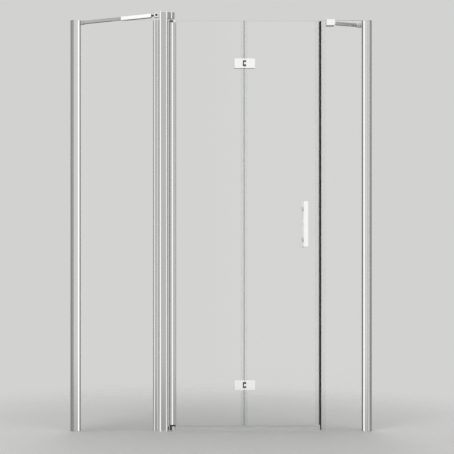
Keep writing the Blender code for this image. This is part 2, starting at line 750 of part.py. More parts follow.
def build_pivot_profile(carrier):
    """The extrusion that turns with the hinge leaf: a bored nose and a glass channel."""
    turn = math.asin(CHANNEL_HALF / NOSE_RADIUS)
    outline = [(CHANNEL_END, SLOT_HALF), (CHANNEL_END, CHANNEL_HALF)]
    outline += arc(0, 0, NOSE_RADIUS, turn, 2 * math.pi - turn, NOSE_STEPS)
    outline += [(CHANNEL_END, -CHANNEL_HALF), (CHANNEL_END, -SLOT_HALF),
                (CHANNEL_SLOT_START, -SLOT_HALF), (CHANNEL_SLOT_START, SLOT_HALF)]
    bore = arc(0, 0, NOSE_BORE, 0, 2 * math.pi, ROUND_SEGMENTS)[:-1]
    profile = extrusion("pivot_profile", [outline, bore], PIVOT_PROFILE_BOTTOM,
                        PIVOT_PROFILE_TOP)
    dress(profile, CHROME, carrier)
    grip = glazing_gasket(CHANNEL_SLOT_START, CHANNEL_END, PIVOT_GASKET_LIP)
    gasket = extrusion("pivot_profile_gasket", [grip], PIVOT_PROFILE_BOTTOM, PIVOT_PROFILE_TOP)
    dress(gasket, GASKET_RUBBER, carrier)
    seat = PIVOT_PROFILE_TOP + FIT
    cap = box("pivot_profile_cap", (NOSE_RADIUS + FIT, -CHANNEL_HALF, seat),
              (CHANNEL_END, CHANNEL_HALF, seat + PIVOT_CAP_HEIGHT), edge=PIVOT_CAP_EDGE)
    dress(cap, CHROME, carrier)
    outer = NOSE_BORE - FIT
    bore = PIN_RADIUS + FIT
    bottom = PIVOT_PROFILE_TOP - BUSH_LENGTH
    bush = turned("pivot_top_bush",
                  [(NOSE_RADIUS, seat + BUSH_FLANGE), (NOSE_RADIUS, seat), (outer, seat),
                   (outer, bottom), (bore, bottom), (bore, seat + BUSH_FLANGE)], ring=True)
    dress(bush, BUSH_PLASTIC, carrier)


def glass_hole(name, x, z):
    """A cutter for a round hole through a pane."""
    place = Matrix.Translation((x, 0, z)) @ Y_OUT
    reach = GLASS_HALF + OVERRUN
    return cylinder(name, GLASS_HOLE_RADIUS, -reach, reach, place, SMALL_SEGMENTS)


def plate_middle(sign):
    """X of the middle of a hinge plate, left (-1) or right (+1) of the fold axis."""
    return PIVOT_TO_FOLD + sign * (PLATE_START + BOSS_SPACING_SHARE * (PLATE_REACH - PLATE_START))


def bottom_seal(name, x_low, x_high, carrier):
    """A clear clip along a leaf's bottom edge, with a fin that wipes the tray outside."""
    under = LEAF_BOTTOM - FIT
    low = under - SEAL_WALL
    fin = SEAL_FIN / 2
    section = [(-SEAL_OUTER, SEAL_RISE), (-SEAL_OUTER, low), (-fin, low),
               (-SEAL_FIN_REACH - fin, SEAL_FLOOR_GAP), (-SEAL_FIN_REACH + fin, SEAL_FLOOR_GAP),
               (fin, low), (SEAL_OUTER, low), (SEAL_OUTER, SEAL_RISE), (GASKET_INNER, SEAL_RISE),
               (GASKET_INNER, under), (-GASKET_INNER, under), (-GASKET_INNER, SEAL_RISE)]
    dress(extrusion(name, [section], x_low, x_high, X_ALONG), CLEAR_SEAL, carrier)


def edge_seal(name, glass_edge, side, carrier):
    """A clear clip along a leaf's folding edge, opened on both faces for the hinges."""
    base = glass_edge + side * FIT
    back = base + side * SEAL_WALL
    arm = glass_edge - side * EDGE_SEAL_ARM
    front = [(base, -GASKET_INNER), (arm, -GASKET_INNER), (arm, -SEAL_OUTER),
             (back, -SEAL_OUTER)]
    seal = extrusion(name, [front + mirror_y(front)], SEAL_RISE + SEAL_END_GAP, LEAF_TOP)
    for hinge, height in (("low", HINGE_LOW), ("high", HINGE_HIGH)):
        half = PLATE_HEIGHT / 2 + SEAL_END_GAP
        x_low, x_high = sorted((arm - side * OVERRUN, back + side * OVERRUN))
        for face, y_low, y_high in (("outer", -SEAL_OUTER - OVERRUN, -GLASS_HALF),
                                    ("inner", GLASS_HALF, SEAL_OUTER + OVERRUN)):
            cut(seal, box(f"{name}_{hinge}_{face}_opening", (x_low, y_low, height - half),
                          (x_high, y_high, height + half)))
    dress(seal, CLEAR_SEAL, carrier)


def outer_plate(name, height, side, carrier):
    """One outer hinge plate: a recess by the fold with the left one's lugs or the right's knuckle."""
    half = PLATE_HEIGHT / 2
    near = side * PLATE_START
    far = side * PLATE_REACH
    first = -side * half
    corners = rounded([(far, first), (far, -first), (near, -first), (near, first)], PLATE_CORNER)
    outline = corners[:2 * (FILLET_STEPS + 1)] + [(near, -first), (near, first)]
    at_axis = Matrix.Translation((PIVOT_TO_FOLD, 0, height))
    plate = extrusion(name, [outline], PLATE_BACK, PLATE_FACE, at_axis @ Y_OUT)
    round_edges(plate, PLATE_EDGE)
    recess_end = -RECESS_LEFT if side < 0 else RECESS_RIGHT
    x_low, x_high = sorted((-side * OVERRUN, recess_end))
    rise = RECESS_HEIGHT / 2
    cut(plate, box(name + "_recess", (x_low, -PLATE_FACE - OVERRUN, -rise),
                   (x_high, -RECESS_FLOOR, rise), at_axis))
    knuckle = KNUCKLE_HEIGHT / 2
    lug = knuckle + KNUCKLE_GAP
    barrels = ((-LUG_END, -lug), (lug, LUG_END)) if side < 0 else ((-knuckle, knuckle),)
    web_back = FOLD_OFFSET - KNUCKLE_RADIUS * KNUCKLE_WEB_SHARE
    x_low, x_high = sorted((0, recess_end + side * OVERRUN))
    barrel_place = at_axis @ Matrix.Translation((0, -FOLD_OFFSET, 0))
    for number, (low, high) in enumerate(barrels, 1):
        barrel = cylinder(f"{name}_barrel_{number}", KNUCKLE_RADIUS, low, high, barrel_place)
        web = box(f"{name}_web_{number}", (x_low, WEB_INSET - PLATE_FACE, low + WEB_INSET),
                  (x_high, -web_back, high - WEB_INSET), at_axis)
        bore = cylinder(f"{name}_bore_{number}", HINGE_PIN_RADIUS + FIT, low - OVERRUN,
                        high + OVERRUN, barrel_place, SMALL_SEGMENTS)
        cut(join(plate, web, barrel), bore)
    dress(plate, CHROME, carrier)


def inner_plate(name, height, side, carrier):
    """One inner hinge plate, with the boss that goes through the glass to the outer one."""
    half = PLATE_HEIGHT / 2
    x_low, x_high = sorted((side * PLATE_START, side * PLATE_REACH))
    outline = rounded(rectangle(x_low, x_high, -half, half), PLATE_CORNER)
    at_axis = Matrix.Translation((PIVOT_TO_FOLD, 0, height)) @ Y_OUT
    plate = extrusion(name, [outline], -PLATE_BACK - INNER_PLATE, -PLATE_BACK, at_axis)
    round_edges(plate, PLATE_EDGE)
    at_boss = Matrix.Translation((plate_middle(side), 0, height)) @ Y_OUT
    boss = cylinder(name + "_boss", BOSS_RADIUS, -PLATE_BACK - INNER_PLATE / 2, GLASS_HALF,
                    at_boss, SMALL_SEGMENTS)
    dress(join(plate, boss), CHROME, carrier)


def hinge_pin(name, height, carrier):
    """The pin of one fold hinge, flush in its lugs."""
    half = LUG_END - FIT
    edge = HINGE_PIN_RADIUS - HINGE_PIN_HEAD
    profile = [(0, half), (edge, half), (HINGE_PIN_RADIUS, half - HINGE_PIN_HEAD),
               (HINGE_PIN_RADIUS, HINGE_PIN_HEAD - half), (edge, -half), (0, -half)]
    place = Matrix.Translation((PIVOT_TO_FOLD, -FOLD_OFFSET, height))
    dress(turned(name, profile, place, SMALL_SEGMENTS), PIN_STEEL, carrier)


def closure_half(name, side, arm, bottom, top, inset, carrier):
    """A clip on a glass edge and the magnet strip that it holds, facing the closing gap.

    Returns X of the glass edge that the clip takes.
    """
    face = PIVOT_TO_CATCH + side * MAGNET_GAP / 2
    rear = face + side * MAGNET_THICKNESS
    seat = rear + side * FIT
    back = seat + side * MAGNET_BACK
    glass_edge = back + side * FIT
    inner = MAGNET_DEPTH / 2 + FIT
    outer = inner + SEAL_WALL
    lip = seat - side * MAGNET_LIP
    end = glass_edge + side * arm
    front = [(back, -GASKET_INNER), (end, -GASKET_INNER), (end, -SEAL_OUTER),
             (glass_edge, -SEAL_OUTER), (seat, -outer), (lip, -outer), (lip, -inner),
             (seat, -inner)]
    clip = extrusion(f"{name}_magnet_seal", [front + mirror_y(front)], bottom, top)
    dress(clip, CLEAR_SEAL, carrier)
    x_low, x_high = sorted((face, rear))
    magnet = box(f"{name}_magnet", (x_low, -MAGNET_DEPTH / 2, bottom + inset),
                 (x_high, MAGNET_DEPTH / 2, top - inset), edge=MAGNET_EDGE)
    dress(magnet, MAGNET_BLACK, carrier)
    return glass_edge


def leaf_edge(side):
    """X of the glass edge of the hinge leaf (-1) or the lead leaf (+1) at the fold."""
    meeting = PIVOT_TO_FOLD - FOLD_LEAD
    return meeting + side * (FOLD_LEAF_GAP / 2 + SEAL_WALL + FIT)


def build_hinge_leaf(carrier):
    """The leaf beside the post: glass, seals and its half of both fold hinges."""
    left = CHANNEL_SLOT_START + FIT + GASKET + FIT
    right = leaf_edge(-1)
    pane = glass_panel("hinge_leaf_glass", left, right, LEAF_BOTTOM, LEAF_TOP)
    notch = CHANNEL_END + CORNER_NOTCH_GAP
    reach = GLASS_HALF + OVERRUN
    cut(pane, box("leaf_notch_low", (left - OVERRUN, -reach, LEAF_BOTTOM - OVERRUN),
                  (notch, reach, PIVOT_PROFILE_BOTTOM)),
        box("leaf_notch_high", (left - OVERRUN, -reach, PIVOT_PROFILE_TOP),
            (notch, reach, LEAF_TOP + OVERRUN)))
    for hinge, height in (("lower", HINGE_LOW), ("upper", HINGE_HIGH)):
        cut(pane, glass_hole(f"{hinge}_hinge_leaf_hole", plate_middle(-1), height))
        outer_plate(f"{hinge}_hinge_outer_plate_a", height, -1, carrier)
        inner_plate(f"{hinge}_hinge_inner_plate_a", height, -1, carrier)
        hinge_pin(f"{hinge}_hinge_pin", height, carrier)
    dress(pane, CLEAR_GLASS, carrier)
    bottom_seal("hinge_leaf_bottom_seal", notch + OVERRUN, right, carrier)
    edge_seal("hinge_leaf_edge_seal", right, 1, carrier)


def build_lead_leaf(carrier):
    """The leaf with the handle: glass, seals, magnet and its half of both fold hinges."""
    left = leaf_edge(1)
    rise = SEAL_RISE + SEAL_END_GAP
    right = closure_half("lead", -1, LEAD_SEAL_ARM, rise, LEAF_TOP, MAGNET_END, carrier)
    pane = glass_panel("lead_leaf_glass", left, right, LEAF_BOTTOM, LEAF_TOP)
    for hinge, height in (("lower", HINGE_LOW), ("upper", HINGE_HIGH)):
        cut(pane, glass_hole(f"{hinge}_lead_leaf_hole", plate_middle(1), height))
        outer_plate(f"{hinge}_hinge_outer_plate_b", height, 1, carrier)
        inner_plate(f"{hinge}_hinge_inner_plate_b", height, 1, carrier)
    for end, height in handle_posts():
        cut(pane, glass_hole(f"handle_{end}_hole", handle_x(), height))
    dress(pane, CLEAR_GLASS, carrier)
    bottom_seal("lead_leaf_bottom_seal", left, right, carrier)
    edge_seal("lead_leaf_edge_seal", left, -1, carrier)
    build_handles(carrier)


def handle_x():
    """X of the handle's middle."""
    return PIVOT_TO_CATCH - HANDLE_TO_CATCH


def handle_posts():
    """Both fixing points of the handle, by name and height."""
    return (("lower", HANDLE_HEIGHT - HANDLE_SPACING / 2),
            ("upper", HANDLE_HEIGHT + HANDLE_SPACING / 2))


def build_handles(carrier):
    """A wide bar outside and a slim one inside, joined through the glass by two studs."""
    half = HANDLE_LENGTH / 2
    middle = Matrix.Translation((handle_x(), 0, HANDLE_HEIGHT))
    root = HANDLE_STAND - HANDLE_THICKNESS / 2
    bore = STUD_RADIUS + FIT
    face = GLASS_HALF + FIT
    collared = face + HANDLE_BUSH_FLANGE + FIT
    stud_end = [(STUD_RADIUS, collared), (STUD_RADIUS, -STUD_DEPTH), (0, -STUD_DEPTH)]
    blind_end = STUD_DEPTH + FIT
    stud_bore = [(bore, face), (bore, blind_end), (0, blind_end)]
    for name, facing, width, seat, root_end in (
            ("handle_outer", Y_OUT, HANDLE_WIDTH, collared, stud_end),
            ("handle_inner", Y_IN, INNER_HANDLE_WIDTH, face, stud_bore)):
        bar = box(name, (-width / 2, -half, HANDLE_STAND - HANDLE_THICKNESS),
                  (width / 2, half, HANDLE_STAND), middle @ facing, edge=HANDLE_EDGE)
        bar.modifiers["edges"].segments = FILLET_STEPS
        for end, height in handle_posts():
            place = Matrix.Translation((handle_x(), 0, height)) @ facing
            profile = [(0, root), (HANDLE_POST_RADIUS, root),
                       (HANDLE_POST_RADIUS, seat + HANDLE_COLLAR),
                       (HANDLE_COLLAR_RADIUS, seat + HANDLE_COLLAR), (HANDLE_COLLAR_RADIUS, seat)]
            join(bar, turned(f"{name}_{end}_post", profile + root_end, place, SMALL_SEGMENTS))
        dress(bar, CHROME, carrier)
    outer = GLASS_HOLE_RADIUS - FIT
    for end, height in handle_posts():
        place = Matrix.Translation((handle_x(), 0, height)) @ Y_OUT
        flange = face + HANDLE_BUSH_FLANGE
        bush = turned(f"handle_{end}_bush",
                      [(HANDLE_COLLAR_RADIUS, flange), (HANDLE_COLLAR_RADIUS, face),
                       (outer, face), (outer, -GLASS_HALF), (bore, -GLASS_HALF),
                       (bore, flange)], place, SMALL_SEGMENTS, ring=True)
        dress(bush, CLEAR_SEAL, carrier)


def wall_frame(wall_x, depth, height, inward):
    """A frame on a wall whose Z axis points into the opening."""
    turn = Matrix.Rotation(0 if inward > 0 else math.pi, 4, "Z")
    return Matrix.Translation((wall_x, depth, height)) @ turn @ X_ALONG


def fork_cut(name, place):
    """Cutters for the slot that takes a swivel tongue, open towards the bar."""
    half = TONGUE / 2 + FIT
    bed = cylinder(name + "_bed", TONGUE_RADIUS + FIT, -half, half, place, SMALL_SEGMENTS)
    way = box(name + "_way", (0, -FORK_MOUTH / 2, -half), (FORK_MOUTH, FORK_MOUTH / 2, half),
              place)
    return bed, way


def square_bar(name, start, end, place, carrier, size=BAR_SIZE, bore=BAR_SIZE - 2 * BAR_WALL):
    """A hollow square bar along a place's X axis."""
    half = size / 2
    hole = bore / 2
    outlines = [rounded(rectangle(-half, half, -half, half), BAR_EDGE),
                rectangle(-hole, hole, -hole, hole)]
    dress(extrusion(name, outlines, start, end, place @ X_ALONG), CHROME, carrier)


def tongue(name, place, root_end):
    """The flat round-ended tongue of a swivel, as two tools to join."""
    half = TONGUE / 2
    width = TONGUE_RADIUS * TONGUE_ROOT_SHARE
    disc = cylinder(name + "_disc", TONGUE_RADIUS, -half, half, place, SMALL_SEGMENTS)
    root = box(name + "_root", (0, -width, -half), (root_end + OVERRUN, width, half), place)
    return disc, root


def build_bar_wall_end(name, wall_x, depth, height, inward, place, carrier):
    """The wall flange with its fork, and the swivel sleeve that takes the bar."""
    stub = [(0, KNUCKLE_CENTRE), (STUB_RADIUS, KNUCKLE_CENTRE), (STUB_RADIUS, FLANGE_THICKNESS),
            (FLANGE_RADIUS - FLANGE_EDGE, FLANGE_THICKNESS),
            (FLANGE_RADIUS, FLANGE_THICKNESS - FLANGE_EDGE), (FLANGE_RADIUS, 0), (0, 0)]
    flange = turned(f"{name}_wall_flange", stub, wall_frame(wall_x, depth, height, inward))
    fork = cylinder(f"{name}_fork", FORK_RADIUS, -FORK_HEIGHT / 2, FORK_HEIGHT / 2, place)
    cut(join(flange, fork), *fork_cut(f"{name}_wall_fork", place))
    dress(flange, CHROME, carrier)
    half = SLEEVE_SIZE / 2
    sleeve = box(f"{name}_wall_swivel", (TONGUE_ROOT, -half, -half),
                 (TONGUE_ROOT + SLEEVE_LENGTH, half, half), place, edge=SLEEVE_EDGE)
    pocket = BAR_SIZE / 2 + FIT
    mouth = TONGUE_ROOT + SLEEVE_LENGTH
    recess = box(f"{name}_sleeve_pocket", (mouth - SLEEVE_POCKET, -pocket, -pocket),
                 (mouth + OVERRUN, pocket, pocket), place)
    cut(join(sleeve, *tongue(f"{name}_wall_tongue", place, TONGUE_ROOT)), recess)
    dress(sleeve, CHROME, carrier)
    return mouth - SLEEVE_POCKET + FIT


def bar_frame(wall_x, inward, reach, height, start):
    """The frame at a bar's wall knuckle with X towards its other end, and that distance."""
    knuckle = Vector((wall_x + inward * KNUCKLE_CENTRE, reach))
    way = Vector(start) - knuckle
    turn = Matrix.Rotation(math.atan2(way.y, way.x), 4, "Z")
    return Matrix.Translation((*knuckle, height)) @ turn, way.length


def build_left_bar(carrier):
    """The telescopic bar from the post to the left wall, with the puck on the post."""
    centre = (-LEFT_BAR_START, LEFT_BAR_INSET)
    place, length = bar_frame(LEFT_WALL_X, 1, LEFT_BAR_REACH, LEFT_BAR_HEIGHT, centre)
    start = build_bar_wall_end("left_bar", LEFT_WALL_X, LEFT_BAR_REACH, LEFT_BAR_HEIGHT, 1,
                               place, carrier)
    end = length - BAR_SETBACK
    mouth = end - TELESCOPE_LENGTH
    square_bar("left_bar", start, mouth + TELESCOPE_OVERLAP, place, carrier)
    square_bar("left_bar_sleeve", mouth, end, place, carrier, SLEEVE_SIZE, BAR_SIZE + 2 * FIT)
    at_puck = Matrix.Translation((*centre, LEFT_BAR_HEIGHT))
    depth = PUCK_DEPTH / 2
    disc = PUCK_RADIUS - PUCK_EDGE
    profile = [(0, depth), (disc, depth), (PUCK_RADIUS, depth - PUCK_EDGE),
               (PUCK_RADIUS, PUCK_EDGE - depth), (disc, -depth), (0, -depth)]
    puck = turned("left_bar_post_swivel", profile, at_puck @ Y_OUT)
    neck = PUCK_NECK_DEPTH / 2
    rise = PUCK_NECK_HEIGHT / 2
    to_post = box("puck_neck", (0, -neck, -rise), (LEFT_BAR_START - POST_LEFT - FIT, neck, rise),
                  at_puck)
    plug = BAR_SIZE / 2
    in_sleeve = box("puck_plug", (end - PLUG_LENGTH, -plug, -plug), (end - FIT, plug, plug), place)
    slim = PLUG_NECK / 2
    to_bar = box("puck_plug_neck", (end - PLUG_LENGTH / 2, -slim, -slim), (length, slim, slim),
                 place)
    screw = cylinder("puck_screw_recess", PUCK_SCREW_RADIUS, depth - PUCK_SCREW_DEPTH,
                     depth + OVERRUN, at_puck @ Y_OUT, SMALL_SEGMENTS)
    dress(cut(join(puck, to_post, to_bar, in_sleeve), screw), CHROME, carrier)


def build_right_bar(carrier):
    """The bar from the right pane to the right wall, with its saddle clamp on the glass."""
    left = PIVOT_TO_CATCH + CLAMP_TO_CATCH
    right = left + CLAMP_WIDTH
    top = PANEL_HEIGHT + CLAMP_TOP
    low = top - CLAMP_HEIGHT
    under = PANEL_HEIGHT + FIT
    front = GASKET_INNER + CLAMP_JAW
    rear = GASKET_INNER + CLAMP_REAR
    saddle = [(-front, low), (-GASKET_INNER, low), (-GASKET_INNER, under), (GASKET_INNER, under),
              (GASKET_INNER, low), (rear, low), (rear, top), (-front, top)]
    clamp = extrusion("right_bar_glass_clamp", [saddle], left, right, X_ALONG)
    round_edges(clamp, CLAMP_EDGE)
    knuckle = (right - FORK_RADIUS, rear - FORK_RADIUS)
    place, length = bar_frame(RIGHT_WALL_X, -1, RIGHT_BAR_REACH, RIGHT_BAR_HEIGHT, knuckle)
    back = place @ Matrix.Translation((length, 0, 0)) @ Matrix.Rotation(math.pi, 4, "Z")
    cut(clamp, *fork_cut("clamp_fork", back))
    dress(clamp, CHROME, carrier)
    plug = PLUG_SIZE / 2
    swivel = box("right_bar_glass_swivel", (RIGHT_PLUG_START, -plug, -plug),
                 (RIGHT_BAR_SETBACK + PLUG_LENGTH, plug, plug), back)
    dress(join(swivel, *tongue("clamp_tongue", back, RIGHT_PLUG_START)), CHROME, carrier)
    start = build_bar_wall_end("right_bar", RIGHT_WALL_X, RIGHT_BAR_REACH, RIGHT_BAR_HEIGHT, -1,
                               place, carrier)
    square_bar("right_bar", start, length - RIGHT_BAR_SETBACK, place, carrier)


def main():
    """Build the fixed frame, the lifting pin and the two leaves."""
    frame = empty("fixed_frame", (0, 0, 0))
    lift = empty("lift_axis", (0, 0, 0), frame)
    swing = empty("swing_axis", (0, 0, 0), lift)
    fold = empty("fold_axis", (PIVOT_TO_FOLD, -FOLD_OFFSET, 0), swing)

    build_wall_side("left", LEFT_WALL_X, 1, LEFT_REVEAL, LEFT_ADJUSTER_WIDTH,
                    edge_profile_left() + GLASS_POCKET - FIT - GASKET - FIT, frame)
    catch_edge = closure_half("fixed", 1, FIXED_SEAL_ARM, SILL_JOINT, PANEL_HEIGHT, MAGNET_END,
                              frame)
    build_wall_side("right", RIGHT_WALL_X, -1, RIGHT_REVEAL, RIGHT_ADJUSTER_WIDTH, catch_edge,
                    frame)
    build_edge_profile(frame)
    build_post(frame)
    build_pivot_blocks(frame)
    build_left_bar(frame)
    build_right_bar(frame)

    pin = turned("pivot_bottom_pin", pin_profile(BOTTOM_PIN_BOTTOM, BOTTOM_PIN_TOP),
                 segments=SMALL_SEGMENTS)
    dress(pin, PIN_STEEL, lift)

    build_pivot_profile(swing)
    build_upper_cam(swing)
    build_hinge_leaf(swing)
    build_lead_leaf(fold)


main()
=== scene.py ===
"""Looks for a niche shower door: polished profiles, clear glass, seals, hinges, handle and bars.

Metres, +Z up.  X runs along the glass, +Y into the shower, and the swing axis stands on the
origin.  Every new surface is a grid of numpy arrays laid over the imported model.
"""

import functools
import math

import bpy
import numpy as np
from bpy.props import FloatProperty, FloatVectorProperty, IntProperty, PointerProperty
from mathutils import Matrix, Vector
from mathutils.geometry import tessellate_polygon


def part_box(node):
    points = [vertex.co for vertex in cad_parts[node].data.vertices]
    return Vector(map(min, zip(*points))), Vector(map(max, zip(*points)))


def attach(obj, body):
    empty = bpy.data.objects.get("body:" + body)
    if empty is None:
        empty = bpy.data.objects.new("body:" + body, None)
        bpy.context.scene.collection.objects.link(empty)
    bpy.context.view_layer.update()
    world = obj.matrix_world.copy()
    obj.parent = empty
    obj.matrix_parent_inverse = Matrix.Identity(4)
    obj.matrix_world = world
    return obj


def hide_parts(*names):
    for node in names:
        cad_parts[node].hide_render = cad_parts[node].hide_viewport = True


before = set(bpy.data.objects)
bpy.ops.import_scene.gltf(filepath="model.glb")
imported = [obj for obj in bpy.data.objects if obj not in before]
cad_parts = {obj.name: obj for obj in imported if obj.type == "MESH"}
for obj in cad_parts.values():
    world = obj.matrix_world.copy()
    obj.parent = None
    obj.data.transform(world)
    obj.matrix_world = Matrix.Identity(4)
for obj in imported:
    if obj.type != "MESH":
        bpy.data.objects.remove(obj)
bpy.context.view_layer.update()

bl_info = {
    "name": "Niche Shower Door Looks",
    "version": (1, 0, 0),
    "blender": (4, 5, 0),
    "location": "3D View > Sidebar > Shower Door",
    "description": "Dresses the packed shower door with smooth surfaces and real finishes",
    "category": "Object",
}

WALL_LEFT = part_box("left_wall_profile")[0][0]
WALL_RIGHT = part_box("right_wall_profile")[1][0]
PANEL_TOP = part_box("left_fixed_glass")[1][2]
POST_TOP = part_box("post_top_cap")[1][2]
# The fold's pins, the line where the leaves meet the fixed side, and the hinges' middles.
FOLD_X, FOLD_Y = 0.3569, -0.0105
CATCH_X = 0.7253
HINGE_HEIGHTS = {"lower": 0.224, "upper": 1.790}
# Fit between pieces, half a glass slot and its depth, half the glass, and the finest rim.
FIT = 0.0003
SLOT_HALF, SLOT_DEPTH = 0.0050, 0.0125
GLASS_HALF = 0.0030
RIM = 0.0002
# The shoulders of the profiles lean back by 19 degrees over this width.
SHOULDER = 0.0045
SHOULDER_SLOPE = math.tan(math.radians(19))
# The pivot profile's ends, and where the pivot blocks meet the post.
PROFILE_LOW, PROFILE_HIGH = 0.0295, 1.990
BLOCK_BACK = -0.0214


def linear(code):
    """Linear RGB of an sRGB hex code."""
    value = np.array([int(code[i:i + 2], 16) for i in (1, 3, 5)]) / 255
    return tuple(np.where(value <= 0.04045, value / 12.92, ((value + 0.055) / 1.055) ** 2.4))


def rounded(corners, radii, steps=6):
    """A closed section with each corner rounded by its own radius, and its outward normals.

    At each corner the normal turns evenly from that of the edge before to that of the edge
    after.  The points are the corner's arc centre plus the radius along that normal.
    """
    corner = np.asarray(corners, float)
    radius = np.broadcast_to(np.asarray(radii, float), len(corner))
    into = corner - np.roll(corner, 1, 0)
    into /= np.linalg.norm(into, axis=1)[:, None]
    onward = np.roll(into, -1, 0)
    normal_in = np.stack([into[:, 1], -into[:, 0]], 1)
    normal_out = np.roll(normal_in, -1, 0)
    cross = into[:, 0] * onward[:, 1] - into[:, 1] * onward[:, 0]
    turn = np.arctan2(cross, (into * onward).sum(1))
    signed = np.where(turn < 0, -radius, radius)[:, None]
    centre = corner - signed * (normal_in + normal_out) / (
        1 + (normal_in * normal_out).sum(1))[:, None]
    spin = turn[:, None] * np.linspace(0, 1, steps + 1)
    cos, sin = np.cos(spin), np.sin(spin)
    normal = np.stack([normal_in[:, :1] * cos - normal_in[:, 1:] * sin,
                       normal_in[:, :1] * sin + normal_in[:, 1:] * cos], -1)
    point = centre[:, None] + signed[:, None] * normal
    kept = (radius > 0)[:, None] | (np.arange(steps + 1) == (steps + 1) // 2)
    return point[kept], normal[kept]


def rectangle(x_low, x_high, y_low, y_high):
    """Four corners, counter-clockwise."""
    return [(x_low, y_low), (x_high, y_low), (x_high, y_high), (x_low, y_high)]


def arc(x, y, radius, first, last, count):
    """Points at equal turns along an arc given in degrees."""
    turn = np.radians(np.linspace(first, last, count))
    return np.stack([x + radius * np.cos(turn), y + radius * np.sin(turn)], 1)


def circle(radius, count, hole=False):
    """A round section; a hole runs the other way, so that its normals point at its axis."""
    step = 360 / count
    first, last = (360, step) if hole else (0, 360 - step)
    return rounded(arc(0, 0, radius, first, last, count), 0.0)


def bow(first, last, rise, count=17):
    """A parabola from first to last that stands out to the right of the way by rise."""
    first, last = np.array(first), np.array(last)
    share = np.linspace(0, 1, count)[:, None]
    way = last - first
    out = np.array([way[1], -way[0]]) / np.linalg.norm(way)
    return first + way * share + out * (4 * rise * share * (1 - share))


def both_sides(front):
    """A section from its half in front of the glass and the same half behind it."""
    front = np.asarray(front, float)
    return np.concatenate([front, (front * (1, -1))[::-1]])


def both_radii(radii):
    """The radii of both halves of such a section."""
    return np.concatenate([radii, radii[::-1]])


def from_wall(section, wall_x, inward):
    """A section measured from a wall, set into the door's own X."""
    points, normals = section
    points, normals = points * (inward, 1), normals * (inward, 1)
    if inward < 0:
        points, normals = points[::-1], normals[::-1]
    return points + (wall_x, 0), normals


def axes(origin, x, y, z):
    """A place with its own three directions."""
    place = np.eye(4)
    place[:3, :] = np.stack([x, y, z, origin], 1)
    return place


UPRIGHT = np.eye(4)
FACE_OUT = axes((0, 0, 0), (1, 0, 0), (0, 0, 1), (0, -1, 0))
FACE_IN = axes((0, 0, 0), (-1, 0, 0), (0, 0, 1), (0, 1, 0))
ACROSS = axes((0, 0, 0), (0, 1, 0), (0, 0, 1), (1, 0, 0))


def at(x, y, z, turn=UPRIGHT):
    """A place moved to a point."""
    place = turn.copy()
    place[:3, 3] += (x, y, z)
    return place


def placed(shell, place):
    """A shell's points and normals taken into a place."""
    points, normals, faces = shell
    return points @ place[:3, :3].T + place[:3, 3], normals @ place[:3, :3].T, faces


def strip_faces(rows, columns, first=0, closed=False):
    """Quads of a grid whose rows close on themselves; closed joins the last row to the first."""
    row, column = np.meshgrid(np.arange(rows if closed else rows - 1), np.arange(columns),
                              indexing="ij")
    onward, after = (row + 1) % rows, (column + 1) % columns
    quads = np.stack([row * columns + column, row * columns + after,
                      onward * columns + after, onward * columns + column], -1)
    return (quads.reshape(-1, 4) + first).tolist()


def around(line, count):
    """Each (radius, height) of a line carried round Z by count equal turns."""
    turn = np.linspace(0, 2 * math.pi, count, endpoint=False)
    return np.stack([line[:, :1] * np.cos(turn), line[:, :1] * np.sin(turn),
                     np.broadcast_to(line[:, 1:], (len(line), count))], -1)


def prism(sections, start, end, edge=0.0003, place=UPRIGHT, rings=3):
    """Sections carried along Z, with a quarter-round rim at both ends.

    The two parameters are the way round the section and the way along.  On the rim the
    point moves in by edge times one minus the sine of the rim's angle, and along by edge
    times one minus its cosine.  The first section is the outer one, others are holes.
    """
    angle = np.linspace(0, math.pi / 2, rings + 1)
    angle = np.concatenate([angle, angle[::-1]])[:, None, None]
    upper = np.repeat((-1.0, 1.0), rings + 1)[:, None, None]
    along = np.where(upper < 0, start, end) - upper * edge * (1 - np.cos(angle))
    points, normals, faces, rims, first = [], [], [], [], 0
    for outline, outward in sections:
        shape = (len(along), len(outline), 1)
        across = outline - edge * (1 - np.sin(angle)) * outward
        points.append(np.concatenate([across, np.broadcast_to(along, shape)], 2))
        normals.append(np.concatenate([np.sin(angle) * outward,
                                       np.broadcast_to(upper * np.cos(angle), shape)], 2))
        faces += strip_faces(len(along), len(outline), first)
        rims.append((first, len(outline)))
        first += len(along) * len(outline)
    points, normals = [np.concatenate([part.reshape(-1, 3) for part in parts])
                       for parts in (points, normals)]
    for row, upward in ((0, False), (len(along) - 1, True)):
        index = np.concatenate([begin + row * count + np.arange(count)
                                for begin, count in rims])
        loops = [[Vector(point) for point in points[begin + row * count:][:count] * (1, 1, 0)]
                 for begin, count in rims]
        triangle = index[np.array(tessellate_polygon(loops))]
        corners = points[triangle]
        lift = np.cross(corners[:, 1] - corners[:, 0], corners[:, 2] - corners[:, 0])[:, 2]
        if (lift.sum() > 0) != upward:
            triangle = triangle[:, ::-1]
        faces += triangle.tolist()
    return placed((points, normals, faces), place)


